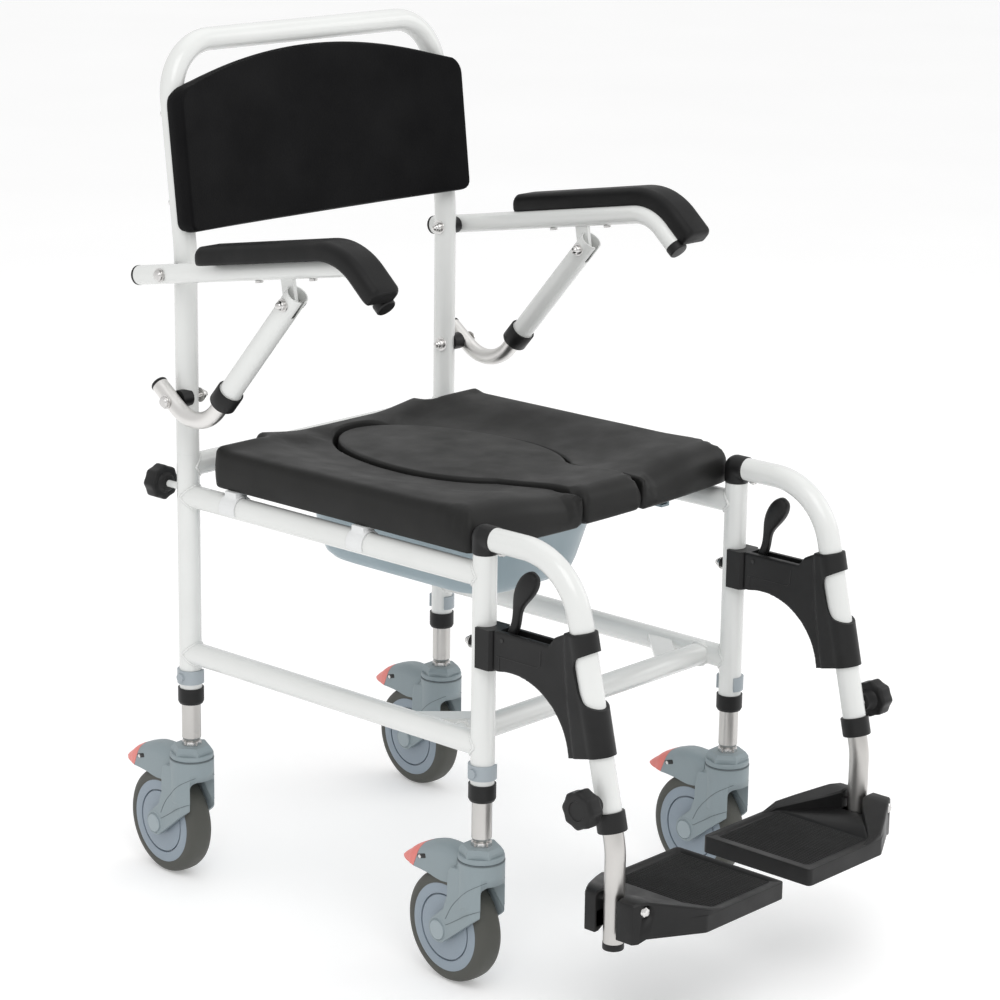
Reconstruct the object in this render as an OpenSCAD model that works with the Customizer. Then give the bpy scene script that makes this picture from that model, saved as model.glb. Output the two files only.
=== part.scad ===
// Wheeled commode and shower chair with swing-up armrests and swing-away footrests.
// Millimetres. X runs across the chair (sitter's left is +X), the sitter faces -Y, Z is up from the floor.

/* [Frame] */
// Distance between the left and right leg axes
leg_spacing_x = 419; // [415:1:440]
// Distance between the front and rear leg axes
leg_spacing_y = 457; // [455:1:465]
// Outside diameter of the welded frame tubes
tube_d = 26; // [25.6:0.1:26.4]
// Height of the lower side rails and of the front crossbar
lower_rail_z = 277; // [270:1:300]
// How far the front crossbar sits behind the front legs
crossbar_setback = 38; // [30:1:60]
// Length of each corner brace's two legs
brace_leg = 70; // [55:1:90]

/* [Casters] */
// Diameter of the wheels
wheel_d = 125; // [122:1:126]
// Width of the tyres
tyre_w = 31; // [28:1:32]
// Distance from the swivel axis back to the axle
caster_trail = 41; // [40:0.5:42]
// Angle that the casters stand turned from straight back
caster_yaw = 5; // [0:1:15]

/* [Seat] */
// Height of the seat side rails
seat_rail_z = 463; // [461:1:465]
// Width of the seat pad
seat_w = 432; // [426:1:434]
// Height of the seat pad's upper edge
seat_top_z = 527; // [520:1:530]
// Half the length of the oval opening
opening_half_l = 158; // [140:1:160]
// Half the width of the oval opening
opening_half_w = 107; // [95:1:108]
// Half the width of the opening's front slot
slot_half_w = 55; // [45:1:58]

/* [Backrest] */
// Height at which the backrest tubes begin to lean back
lean_z = 745; // [742:1:750]
// Angle that the backrest leans
lean_angle = 6.7; // [5:0.1:7]
// Height of the push bar's axis above the lean, along the tubes
hoop_height = 227; // [225:1:240]
// Radius of the push bar's corners
hoop_corner_r = 62; // [50:1:70]

/* [Armrests] */
// Distance from the chair's middle to each armrest tube's axis
armrest_x = 238; // [237:0.5:240]
// Height of the armrest pivot
armrest_pivot_z = 721; // [719:1:723]
// Slope of the armrest tube
armrest_slope = 9.4; // [8.5:0.1:10]
// Width of the armrest pads
armrest_pad_w = 42; // [38:1:42]

/* [Footrests] */
// Height of the bend in each hanger tube's top
hanger_z = 504; // [502:1:506]
// Radius of the hanger tube's bend
hanger_bend_r = 78; // [70:1:82]
// Angle of the hanger's lower run from upright
hanger_tilt = 13; // [12:0.5:14]
// Height of the footplates' tops
footplate_z = 143; // [141:1:143]
// Thickness of the footplates
footplate_t = 19; // [16:1:20]

/* [Hidden] */
$fn = 64;

// Sides: -1 is the sitter's right, +1 the sitter's left. Ends: -1 is the front, +1 the rear.
right = -1;
left = 1;
front = -1;
rear = 1;

hx = leg_spacing_x / 2;
hy = leg_spacing_y / 2;
tube_r = tube_d / 2;
running_gap = 0.1;
joint_gap = 0.05;

// How far the footplates reach in front of the legs' middle, and the brake pedals behind it
front_reach = 490;
rear_reach = 345;
middle_y = (front_reach - rear_reach) / 2;

// Frame
extension_r = 11;
leg_bore_r = extension_r + running_gap;
leg_bottom_z = 218;
front_leg_top_z = 486.6;
rear_leg_top_z = 512.5;
rear_bar_z = 497.5;
brace_w = 25;
brace_t = 5;
brace_z = lower_rail_z + 5;
collar_r = 15;
collar_bottom_z = 216;
collar_top_z = 235;
clip_z = 241;
clip_h = 16;
clip_r = 15.6;
clip_gap_angle = 110;
catch_z = 389;
catch_h = 44;
catch_w = 33;
catch_reach = 26.9;
bolt_r = 3;
bolt_hole_r = bolt_r + 0.06;

// Casters
stem_r = 6;
fork_r = 25.5;
fork_bottom_z = 101;
fork_top_z = 150;
caster_top_z = 165.5;
axle_z = wheel_d / 2;
axle_r = 4;
rim_r = 49;
arm_in = 17.5;
arm_out = 24.5;
boss_r = 15;
cap_r = 11;
cap_out = 27.3;
pedal_pivot = [31, 141];
pedal_pin_r = 2.5;
pedal_half_w = 14.5;

// Seat
pad_bottom_z = 481;
pad_half_w = seat_w / 2;
pad_front_y = -212;
pad_rear_y = 205;
pad_bulge = 13;
notch_x = 134;
notch_y = 182;
oval_y = 18;
rebate_z = 500;
rebate_step = 14;
insert_gap = 1.5;
clip_ys = [150, -50];
clip_len = 34;
rail_x = 128;
rail_bottom_z = 467.5;
pan_rim_z = 475;
pan_rim_half_w = 125;
pan_rim_rear_y = 178;
pan_rim_front_y = -178;
pan_bottom_z = 391;
pan_wall = 2.6;
pan_draft = 14;

// Backrest
stub_len = 55;
lean_bend_r = 200;
lean_tangent = lean_bend_r * tan(lean_angle / 2);
back_pad_half_w = 223;
back_pad_bottom = 20;
back_pad_side_top = 178;
back_pad_top = 210;
back_pad_bow = 17;
back_pad_t = 19;
knob_z = 470.5;
knob_r = 20;
knob_t = 20;

// Armrests
armrest_r = 11;
armrest_pivot_y = 227;
armrest_rear = 46.5;
armrest_bend_r = 50;
armrest_bend_start = 276;
armrest_nose_angle = 42;
armrest_nose = 25;
pad_t = 21;
pad_start = 72;
pad_overhang = 8;
strut_x = armrest_x;
strut_bottom_pivot = [222, 578.5];
strut_top_pivot = [30, 716];
strut_offset = 56;
strut_tube_r = 9.5;
sleeve_r = 12.7;
sleeve_bore_r = 11.3;
sleeve_len = 149;
sleeve_past_pin = 15;
strut_collar_r = 14.8;
strut_collar_len = 20;
strut_bend_r = 49;
strut_tail_angle = 36.7;
strut_tail = 25;
tab_t = 5;
tab_r = 9;

// Footrests
hanger_start = 14;
hanger_corner = 117.7;
hanger_end_z = 245;
footrest_r = 11;
footrest_x = hx;
foot_axis_f = 185.4;
footrest_bottom_z = 104;
footrest_bend_r = 100;
footrest_insert = 85;
foot_collar_r = 15;
foot_collar_len = 21;
foot_knob_z = 261.5;
plate_in_x = 31;
plate_out_x = 156;
plate_front_y = -490;
plate_rear_y = -344;
plate_corner_r = 9;
plate_pivot_z = 155.6;
ear_x = 223;
ear_top_z = 165;

// ---------- shared shapes ----------

// The legs' middle sits behind the middle of the whole chair.
module chair() translate([0, middle_y, 0]) children();

module rod(a, b, r) {
  v = b - a;
  len = norm(v);
  translate(a)
    rotate([0, acos(v[2] / len), atan2(v[1], v[0])])
      cylinder(h = len, r = r);
}

// A round bar along X, from x0 to x1, at y, z.
module bar_x(x0, x1, y, z, r) rod([x0, y, z], [x1, y, z], r);

// A bend about the origin in the X-Y plane, with a fine seam ring at either end that takes
// in the tip of the straight run. The rings are turned about their own axis by seam_turn.
seam_gap = 0.2;
module bend(r, bend_r, sweep, seam_turn = 25) {
  rotate_extrude(angle = sweep) translate([bend_r, 0]) circle(r);
  for (a = [0, sweep])
    rotate(a) translate([bend_r, 0.5, 0]) rotate([90, 0, 0]) rotate(seam_turn) cylinder(h = 1, r = r + 0.03);
}

// The same bend with a straight run at either end.
module bent_bar(r, bend_r, sweep, first, last, seam_turn = 25) {
  bend(r, bend_r, sweep, seam_turn);
  translate([bend_r, -seam_gap, 0]) rotate([90, 0, 0]) cylinder(h = first - seam_gap, r = r);
  rotate(sweep) translate([bend_r, seam_gap, 0]) rotate([-90, 0, 0]) cylinder(h = last - seam_gap, r = r);
}

// Stands the X-Y plane upright as the Y-Z plane, about a centre given in Y and Z.
module upright(x, centre, start_angle)
  translate([x, centre[0], centre[1]]) rotate([90, 0, 90]) rotate(start_angle) children();

// Stands a shape drawn in the Y-Z plane upright, as thick as w, with its middle at x.
module side_plate(x, w)
  translate([x - w / 2, 0, 0])
    rotate([90, 0, 90]) linear_extrude(w) children();

function arc(c, r, a0, a1, n) =
  [for (i = [0 : n]) c + r * [cos(a0 + (a1 - a0) * i / n), sin(a0 + (a1 - a0) * i / n)]];

function rounded_box(x0, y0, x1, y1, r) = concat(
  arc([x1 - r, y1 - r], r, 0, 90, 6), arc([x0 + r, y1 - r], r, 90, 180, 6),
  arc([x0 + r, y0 + r], r, 180, 270, 6), arc([x1 - r, y0 + r], r, 270, 360, 6));

function mirrored(points) = concat(points,
  [for (i = [len(points) - 1 : -1 : 0]) [-points[i][0], points[i][1]]]);

// The point that lies at given distances along two directions, n1 and n2.
function meet(n1, d1, n2, d2) =
  let (det = n1[0] * n2[1] - n1[1] * n2[0])
  [(d1 * n2[1] - d2 * n1[1]) / det, (n1[0] * d2 - n2[0] * d1) / det];

// A grip knob with lobes, its back at the origin and its face at height t.
module star_knob(r, t, lobes) {
  linear_extrude(t) {
    circle(r * 0.82);
    for (i = [0 : lobes - 1])
      rotate(i * 360 / lobes) translate([r * 0.72, 0]) circle(r * 0.28);
  }
}

module at_legs(ends) {
  for (sx = [right, left], sy = ends)
    translate([sx * hx, sy * hy, 0]) children();
}

// ---------- welded frame ----------

module leg_outer(z0, z1) at_legs([front, rear])
  translate([0, 0, z0]) cylinder(h = z1 - z0, r = tube_r);

module frame_legs() color("white") chair() {
  at_legs([front]) difference() {
    translate([0, 0, leg_bottom_z]) cylinder(h = front_leg_top_z - leg_bottom_z, r = tube_r);
    translate([0, 0, leg_bottom_z - 1]) cylinder(h = 400, r = leg_bore_r);
    rod([0, -20, catch_z], [0, 20, catch_z], bolt_hole_r);
  }
  at_legs([rear]) difference() {
    translate([0, 0, leg_bottom_z]) cylinder(h = rear_leg_top_z - leg_bottom_z - joint_gap, r = tube_r);
    translate([0, 0, leg_bottom_z - 1]) cylinder(h = 400, r = leg_bore_r);
    rod([0, 5, knob_z], [0, 20, knob_z], bolt_hole_r + 1);
  }
}

// Side rails run between the legs; their ends are coped to fit the round legs.
module frame_rails() color("white") chair() {
  difference() {
    union() {
      for (s = [right, left]) {
        rod([s * hx, -hy, seat_rail_z], [s * hx, hy, seat_rail_z], tube_r);
        rod([s * hx, -hy, lower_rail_z], [s * hx, hy, lower_rail_z], tube_r);
      }
      bar_x(-hx, hx, hy, rear_bar_z, tube_r);
      bar_x(-hx, hx, crossbar_setback - hy, lower_rail_z, tube_r);
      for (s = [right, left]) corner_brace(s);
    }
    leg_outer(leg_bottom_z, rear_leg_top_z + 1);
  }
}

// A flat bar across the corner between a lower side rail and the crossbar.
module corner_brace(s) {
  corner = [s * hx, crossbar_setback - hy];
  translate([corner[0], corner[1], brace_z - brace_t / 2])
    rotate(s * 45)
      translate([-brace_leg / sqrt(2), brace_leg / sqrt(2) - brace_w / 2, 0])
        cube([brace_leg * sqrt(2), brace_w, brace_t]);
}

module leg_collars() color([0.12, 0.12, 0.12]) chair() at_legs([front, rear])
  translate([0, 0, collar_bottom_z]) difference() {
    union() {
      cylinder(h = 3, r1 = collar_r - 1.5, r2 = collar_r);
      translate([0, 0, 3]) cylinder(h = collar_top_z - collar_bottom_z - 3, r = collar_r);
    }
    translate([0, 0, -1]) cylinder(h = 40, r = leg_bore_r);
    translate([0, 0, leg_bottom_z - collar_bottom_z]) cylinder(h = 40, r = tube_r);
  }

// Spring clips for the leg height, open towards the chair's middle, with a button outside.
module height_clips() color([0.58, 0.64, 0.7]) chair()
  for (sx = [right, left], sy = [front, rear])
    translate([sx * hx, sy * hy, clip_z]) {
      difference() {
        cylinder(h = clip_h, r = clip_r);
        translate([0, 0, -1]) cylinder(h = clip_h + 2, r = tube_r);
        clip_mouth(sx);
      }
      rod([sx * (tube_r + 1), 0, clip_h / 2], [sx * (clip_r + 2), 0, clip_h / 2], 5);
    }

module clip_mouth(sx) {
  reach = 30;
  spread = reach * tan(clip_gap_angle / 2);
  translate([0, 0, -1]) linear_extrude(clip_h + 2)
    polygon([[0, 0], [-sx * reach, spread], [-sx * reach, -spread]]);
}

// Receivers for the swing-away brackets, each bolted through its front leg.
module latch_catches() color([0.1, 0.1, 0.1]) chair() at_legs([front]) {
  difference() {
    intersection() {
      translate([-catch_w / 2, -40, catch_z - catch_h / 2]) cube([catch_w, 38, catch_h]);
      translate([0, 0, catch_z - catch_h]) cylinder(h = 2 * catch_h, r = catch_reach);
    }
    translate([0, 0, catch_z - catch_h]) cylinder(h = 2 * catch_h, r = tube_r);
    rod([0, -40, catch_z], [0, 0, catch_z], bolt_hole_r + 0.1);
  }
  rod([0, -25, catch_z], [0, 20, catch_z], bolt_r);
  rod([0, tube_r + 0.2, catch_z], [0, 19, catch_z], 5.5);
  translate([0, 20, catch_z]) sphere(r = 4);
}

// ---------- casters ----------

module caster(sx, sy)
  chair() translate([sx * hx, sy * hy, 0]) rotate(-caster_yaw) children();

module leg_extension(sx, sy) color([0.75, 0.76, 0.78]) caster(sx, sy) {
  swage_z = caster_top_z + 4;
  tube_top_z = leg_bottom_z + 85;
  translate([0, 0, swage_z]) cylinder(h = 5, r1 = 8.5, r2 = extension_r);
  translate([0, 0, swage_z + 5]) cylinder(h = tube_top_z - swage_z - 5, r = extension_r);
  translate([0, 0, caster_top_z + 0.2]) cylinder(h = 4, r = 9);
  translate([0, 0, caster_top_z - 28]) cylinder(h = 30, r = stem_r);
}

// The fork's arm seen from the side, with its front edge upright and its lower edge
// running down to the boss around the axle.
module fork_arm_outline() {
  front_y = -20;
  polygon([
    [front_y, 93], [front_y, fork_top_z - 10], [22, fork_top_z - 10], [28, 122], [32, 92],
    [caster_trail + 9, axle_z + 12], [caster_trail - 7, axle_z - 13.2]
  ]);
  translate([caster_trail, axle_z]) circle(boss_r);
}

module caster_fork(sx, sy) color([0.55, 0.6, 0.63]) caster(sx, sy) {
  difference() {
    union() {
      translate([0, 0, fork_bottom_z]) cylinder(h = fork_top_z - fork_bottom_z, r = fork_r);
      translate([0, 0, fork_top_z]) cylinder(h = 8, r = fork_r - 1);
      translate([0, 0, fork_top_z + 8]) cylinder(h = caster_top_z - fork_top_z - 8, r = 24, $fn = 6);
      for (s = [right, left]) {
        side_plate(s * (arm_in + arm_out) / 2, arm_out - arm_in) fork_arm_outline();
        pedal_lug(s);
      }
    }
    wheel_room();
    translate([0, 0, caster_top_z - 30]) cylinder(h = 40, r = stem_r + 0.06);
    bar_x(-40, 40, caster_trail, axle_z, axle_r + 0.05);
    bar_x(-18, 18, pedal_pivot[0], pedal_pivot[1], pedal_pin_r + 0.05);
  }
  axle();
  bar_x(-17.9, 17.9, pedal_pivot[0], pedal_pivot[1], pedal_pin_r);
}

// Two lugs behind the housing hold the brake pedal's pin.
module pedal_lug(s)
  translate([s * 17 - 1.9, 15, pedal_pivot[1] - 6]) cube([3.8, pedal_pivot[0] - 10, 12]);

// The space inside the fork that the wheel turns in, with an arch at the front.
module wheel_room() {
  bar_x(-arm_in, arm_in, caster_trail, axle_z, axle_z + 4);
  translate([-arm_in, -40, 60]) cube([2 * arm_in, 45, 58]);
}

module axle() {
  bar_x(-cap_out, cap_out, caster_trail, axle_z, axle_r);
  for (s = [right, left])
    bar_x(s * (arm_out + 0.1), s * cap_out, caster_trail, axle_z, cap_r);
}

module wheel_turned() translate([0, caster_trail, axle_z]) rotate([0, 90, 0]) children();

module caster_wheel(sx, sy) color([0.55, 0.62, 0.7]) caster(sx, sy) wheel_turned() {
  half = tyre_w / 2;
  rotate_extrude() polygon([
    [axle_r + 0.06, -half], [36, -half], [36, 2 - half], [37.5, 2 - half], [37.5, -half],
    [rim_r, -half], [rim_r, half], [37.5, half], [37.5, half - 2], [36, half - 2],
    [36, half], [axle_r + 0.06, half]
  ]);
}

module caster_tyre(sx, sy) color([0.3, 0.3, 0.28]) caster(sx, sy) wheel_turned() {
  half = tyre_w / 2;
  tread_r = wheel_d / 2;
  rotate_extrude() polygon([
    [rim_r + 0.02, -half], [tread_r - 6, 0.8 - half], [tread_r - 1.5, 4.5 - half],
    [tread_r, 9 - half], [tread_r, half - 9], [tread_r - 1.5, half - 4.5],
    [tread_r - 6, half - 0.8], [rim_r + 0.02, half]
  ]);
}

// The brake pedal rises behind the housing, over the wheel, and drops to a pointed tip.
module caster_brake(sx, sy) color([0.55, 0.6, 0.63]) caster(sx, sy) {
  reach_y = rear_reach - hy;
  difference() {
    intersection() {
      side_plate(0, 2 * pedal_half_w) polygon([
        [26.5, 133], [26.5, 152], [40, 158], [58, 156.5], [78, 149], [98, 137],
        [reach_y, 124], [reach_y, 121], [104, 116.5], [88, 119], [75, 125], [60, 131.5]
      ]);
      linear_extrude(200) polygon(mirrored([
        [pedal_half_w, 20], [pedal_half_w, 72], [13, 88], [9, 103], [4, reach_y]
      ]));
    }
    bar_x(-20, 20, pedal_pivot[0], pedal_pivot[1], pedal_pin_r + 0.06);
  }
}

// ---------- seat ----------

// Half of the seat's outline, on the left side, drawn from the front middle to the rear middle.
function seat_half(inset) =
  let (w = pad_half_w - inset, f = pad_front_y + inset, b = pad_rear_y - inset,
       n = notch_x - inset, ny = notch_y - inset)
  concat(
    [for (i = [0 : 6]) [i * w / 7, f - pad_bulge * (1 - pow(i / 7, 2))]],
    arc([w - 14, f + 15], 14, -80, 0, 5),
    arc([w - 10, ny - 10], 10, 0, 90, 5),
    [[n + 8, ny]],
    arc([n - 12, b - 12], 12, 0, 90, 5));

function oval(w, l) = [for (i = [0 : 47]) [w * sin(i * 7.5), oval_y + l * cos(i * 7.5)]];

module keyhole(shrink) {
  polygon(oval(opening_half_w - shrink, opening_half_l - shrink));
  translate([-slot_half_w + shrink, pad_front_y - 30]) square([2 * (slot_half_w - shrink), 160]);
}

module seat_pad() color([0.2, 0.2, 0.2]) chair() difference() {
  union() {
    translate([0, 0, pad_bottom_z]) linear_extrude(30) polygon(mirrored(seat_half(0)));
    translate([0, 0, pad_bottom_z + 30]) linear_extrude(9) polygon(mirrored(seat_half(4)));
    translate([0, 0, pad_bottom_z + 39])
      linear_extrude(seat_top_z - pad_bottom_z - 42) polygon(mirrored(seat_half(14)));
  }
  translate([0, 0, rebate_z]) linear_extrude(60) keyhole(0);
  translate([0, 0, pad_bottom_z - 1]) linear_extrude(60) keyhole(rebate_step);
}

module seat_insert() color([0.22, 0.22, 0.22]) chair() {
  top_z = seat_top_z - 7;
  translate([0, 0, rebate_z + 0.3]) linear_extrude(top_z - rebate_z - 0.3) intersection() {
    keyhole(insert_gap);
    polygon(mirrored(seat_half(2)));
  }
  translate([0, 0, pad_bottom_z + 2]) linear_extrude(30) intersection() {
    keyhole(rebate_step + insert_gap);
    polygon(mirrored(seat_half(2)));
  }
}

// Saddles under the pad that sit over the side rails.
module seat_clips() color([0.9, 0.9, 0.9]) chair()
  for (s = [right, left], y = clip_ys)
    translate([s * hx, y - clip_len / 2, seat_rail_z]) difference() {
      translate([-16, 0, -9]) cube([22, clip_len, pad_bottom_z - seat_rail_z + 9]);
      translate([-tube_r - 0.2, -1, -20]) cube([2 * tube_r + 0.4, clip_len + 2, 20]);
      rotate([-90, 0, 0]) translate([0, 0, -1]) cylinder(h = clip_len + 2, r = tube_r + 0.2);
    }

// Two channels under the pad that the pan's rim slides in.
module pan_rails() color([0.56, 0.63, 0.67]) chair()
  for (s = [right, left]) {
    x0 = s > 0 ? rail_x : -rail_x - 3;
    lip_x = s > 0 ? rail_x - 10 : -rail_x - 3;
    translate([x0, -195, rail_bottom_z]) cube([3, 385, pad_bottom_z - rail_bottom_z]);
    translate([lip_x, -195, rail_bottom_z]) cube([13, 385, 2.5]);
  }

module pan_shape(half_w, y0, y1, drop, base) {
  hull() {
    translate([0, 0, pan_rim_z - 1 + base]) linear_extrude(1)
      polygon(rounded_box(-half_w, y0, half_w, y1, 45));
    translate([0, 0, pan_bottom_z + 14 + base]) linear_extrude(1)
      polygon(rounded_box(-half_w + drop - 4, y0 + drop - 4, half_w - drop + 4, y1 - drop + 4, 45));
    translate([0, 0, pan_bottom_z + base]) linear_extrude(1)
      polygon(rounded_box(-half_w + drop + 8, y0 + drop + 8, half_w - drop - 8, y1 - drop - 8, 35));
  }
}

// A tapered bucket with an open top and a flat rim.
module commode_pan() color([0.56, 0.63, 0.67]) chair() difference() {
  union() {
    translate([0, 0, pan_rim_z - 3]) linear_extrude(3)
      polygon(rounded_box(-pan_rim_half_w, pan_rim_front_y, pan_rim_half_w, pan_rim_rear_y, 30));
    pan_shape(115, pan_rim_front_y + 10, pan_rim_rear_y - 10, pan_draft, 0);
  }
  pan_shape(115 - pan_wall, pan_rim_front_y + 10 + pan_wall, pan_rim_rear_y - 10 - pan_wall,
            pan_draft, pan_wall);
}

// ---------- backrest ----------

// Moves shapes drawn upright above the lean line into the leaning plane.
module leaning() translate([0, hy, lean_z]) rotate([-lean_angle, 0, 0]) children();

module backrest_frame() color("white") chair() difference() {
  union() {
    for (s = [right, left]) {
      rod([s * hx, hy, rear_leg_top_z - stub_len], [s * hx, hy, rear_leg_top_z + 1], extension_r);
      upright(s * hx, [hy + lean_bend_r, lean_z - lean_tangent], 180 - lean_angle)
        bent_bar(tube_r, lean_bend_r, lean_angle, hoop_height - hoop_corner_r - lean_tangent - seam_gap,
                 lean_z - lean_tangent - rear_leg_top_z);
    }
    leaning() {
      bar_x(hoop_corner_r - hx + seam_gap, hx - hoop_corner_r - seam_gap, 0, hoop_height, tube_r);
      hoop_corner(right);
      hoop_corner(left);
    }
  }
  for (s = [right, left]) {
    bar_x(s * (hx - 30), s * (hx + 30), armrest_pivot_y, armrest_pivot_z, bolt_r + 0.02);
    bar_x(s * (hx - 30), s * (hx + 30), strut_bottom_pivot[0], strut_bottom_pivot[1], bolt_r + 0.02);
  }
  for (s = [right, left], h = pad_screw_heights)
    leaning() rod([s * hx, -20, h], [s * hx, 20, h], bolt_r + 0.02);
}

pad_screw_heights = [52, 150];

module hoop_corner(s)
  translate([s * (hx - hoop_corner_r), 0, hoop_height - hoop_corner_r])
    rotate([90, 0, 0]) rotate(s > 0 ? 0 : 90) bend(tube_r, hoop_corner_r, 90);

// The pad's front bows back in the middle and comes forward at both ends.
function back_bow(x) = back_pad_bow * (1 - pow(abs(x) / back_pad_half_w, 2.5));

module backrest_pad() color([0.1, 0.1, 0.1]) chair() leaning() {
  contact_y = -tube_r - 0.05;
  front_y = contact_y - back_pad_t;
  steps = 20;
  plan = concat(
    [for (i = [-steps : steps])
      let (x = i * back_pad_half_w / steps) [x, front_y + back_bow(x)]],
    [for (i = [steps : -1 : -steps])
      let (x = i * back_pad_half_w / steps) [x, min(front_y + back_bow(x) + back_pad_t, contact_y)]]);
  half_chord = back_pad_half_w - 18;
  rise = back_pad_top - back_pad_side_top;
  arch_r = (half_chord * half_chord + rise * rise) / (2 * rise);
  arch_a = asin(half_chord / arch_r);
  face = concat(
    arc([back_pad_half_w - 10, back_pad_bottom + 10], 10, -90, 0, 4),
    arc([back_pad_half_w - 20, back_pad_side_top - 18], 20, 0, 66, 4),
    arc([0, back_pad_top - arch_r], arch_r, 90 - arch_a + 1, 90 + arch_a - 1, 20),
    arc([-back_pad_half_w + 20, back_pad_side_top - 18], 20, 114, 180, 4),
    arc([-back_pad_half_w + 10, back_pad_bottom + 10], 10, 180, 270, 4));
  difference() {
    intersection() {
      linear_extrude(300) polygon(plan);
      translate([0, 60, 0]) rotate([90, 0, 0]) linear_extrude(120) polygon(face);
    }
    for (s = [right, left], h = pad_screw_heights)
      rod([s * hx, contact_y - 12, h], [s * hx, 20, h], bolt_r + 0.02);
  }
}

// Pad screws behind the tubes, and the pivot bolts of the armrests and struts.
module backrest_hardware() color([0.8, 0.8, 0.82]) chair() {
  leaning() for (s = [right, left], h = pad_screw_heights) {
    rod([s * hx, -tube_r - 10, h], [s * hx, tube_r + 1, h], bolt_r);
    rod([s * hx, tube_r + 0.1, h], [s * hx, tube_r + 2.6, h], 5);
  }
  for (s = [right, left]) {
    pivot_bolt(s, armrest_pivot_y, armrest_pivot_z, armrest_r);
    pivot_bolt(s, strut_bottom_pivot[0], strut_bottom_pivot[1], strut_tube_r);
  }
}

module pivot_bolt(s, y, z, outer_r) {
  nut_x = hx - tube_r;
  head_x = armrest_x + outer_r + 0.3;
  bar_x(s * (nut_x - 8), s * (head_x + 1), y, z, bolt_r);
  bar_x(s * (nut_x - 5), s * (nut_x - 0.1), y, z, 5.5);
  translate([s * (nut_x - 7), y, z]) sphere(r = 4);
  bar_x(s * head_x, s * (head_x + 3), y, z, 5.5);
}

// Black saddles between the uprights and the armrest tubes.
module armrest_spacers() color([0.1, 0.1, 0.1]) chair() for (s = [right, left]) {
  spacer(s, armrest_pivot_y, armrest_pivot_z, armrest_x - armrest_r - 0.3);
  spacer(s, strut_bottom_pivot[0], strut_bottom_pivot[1], armrest_x - strut_tube_r - 0.3);
}

module spacer(s, y, z, face_x) difference() {
  bar_x(s * (hx + 4), s * face_x, y, z, 10);
  rod([s * hx, hy, z - 30], [s * hx, hy, z + 30], tube_r);
  bar_x(s * hx, s * (face_x + 5), y, z, bolt_r + 0.02);
}

module back_knob(s) color([0.1, 0.1, 0.1]) chair() {
  stud_y = hy + leg_bore_r + 0.1;
  rod([s * hx, stud_y, knob_z], [s * hx, hy + 37, knob_z], 4);
  translate([s * hx, hy + 34, knob_z]) rotate([-90, 0, 0]) {
    cylinder(h = 6, r = 9);
    translate([0, 0, 4]) star_knob(knob_r, knob_t - 2, 7);
  }
}

// ---------- armrests ----------

// The armrest is drawn along +Y with its pivot at the origin, then turned to face forwards.
module armrest(s)
  chair() translate([s * armrest_x, armrest_pivot_y, armrest_pivot_z])
    rotate([armrest_slope, 0, 180]) children();

armrest_turn = armrest_nose_angle + armrest_slope;

// Where a point given in the chair's Y and Z lies in the armrest's own frame.
function in_armrest(p) =
  let (f = armrest_pivot_y - p[0], h = p[1] - armrest_pivot_z,
       c = cos(armrest_slope), s = sin(armrest_slope))
  [f * c + h * s, h * c - f * s];

module armrest_tube(s) color("white") armrest(s) {
  pin = in_armrest(strut_top_pivot);
  difference() {
    union() {
      upright(0, [armrest_bend_start, -armrest_bend_r], 90 - armrest_turn)
        bent_bar(armrest_r, armrest_bend_r, armrest_turn, armrest_nose, armrest_bend_start + armrest_rear);
      translate([-tab_t / 2, pin[0] - tab_r, pin[1]]) cube([tab_t, 2 * tab_r, -pin[1] - 5]);
      bar_x(-tab_t / 2, tab_t / 2, pin[0], pin[1], tab_r);
    }
    bar_x(-20, 20, 0, 0, bolt_hole_r);
    bar_x(-20, 20, pin[0], pin[1], bolt_r + 0.02);
    for (y = arm_screw_ys) rod([0, y, -20], [0, y, 20], 2.02);
  }
}

arm_screw_ys = [148, 232];

// The pad lies along the top of the tube and follows its bend down to the nose.
module armrest_pad(s) color([0.1, 0.1, 0.1]) armrest(s) {
  turn = armrest_turn;
  inner_r = armrest_bend_r + armrest_r + 0.1;
  outer_r = inner_r + pad_t;
  centre = [armrest_bend_start, -armrest_bend_r];
  nose = armrest_nose + pad_overhang;
  along = [cos(turn), -sin(turn)];
  out = [sin(turn), cos(turn)];
  side = armrest_r - 0.5;
  shift = s * (armrest_pad_w / 2 - side);
  difference() {
    side_plate(-shift, armrest_pad_w) polygon(concat(
      arc(centre, inner_r, 90, 90 - turn, 10),
      [centre + inner_r * out + nose * along, centre + outer_r * out + nose * along],
      arc(centre, outer_r, 90 - turn, 90, 10),
      [[pad_start + 5, outer_r - armrest_bend_r], [pad_start, outer_r - armrest_bend_r - 5],
       [pad_start, inner_r - armrest_bend_r]]));
    for (y = arm_screw_ys) rod([0, y, -20], [0, y, 20], 2.02);
  }
}

// End plugs, the strut's pin and the pad's screws.
module armrest_hardware(s) color([0.3, 0.3, 0.3]) armrest(s) {
  pin = in_armrest(strut_top_pivot);
  rod([0, -armrest_rear - 2, 0], [0, -armrest_rear - 0.05, 0], armrest_r - 0.5);
  translate([0, armrest_bend_start, -armrest_bend_r]) rotate([-armrest_turn, 0, 0])
    rod([0, armrest_nose + 0.05, armrest_bend_r], [0, armrest_nose + 5, armrest_bend_r], armrest_r - 0.8);
  bar_x(-sleeve_r - 6, sleeve_r + 4, pin[0], pin[1], bolt_r);
  bar_x(sleeve_r + 0.3, sleeve_r + 4, pin[0], pin[1], 5);
  bar_x(-sleeve_r - 5, -sleeve_r - 0.3, pin[0], pin[1], 5);
  for (y = arm_screw_ys) {
    rod([0, y, -armrest_r - 2.5], [0, y, -armrest_r - 0.1], 4.5);
    rod([0, y, -armrest_r - 1], [0, y, 18], 2);
  }
}

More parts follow.
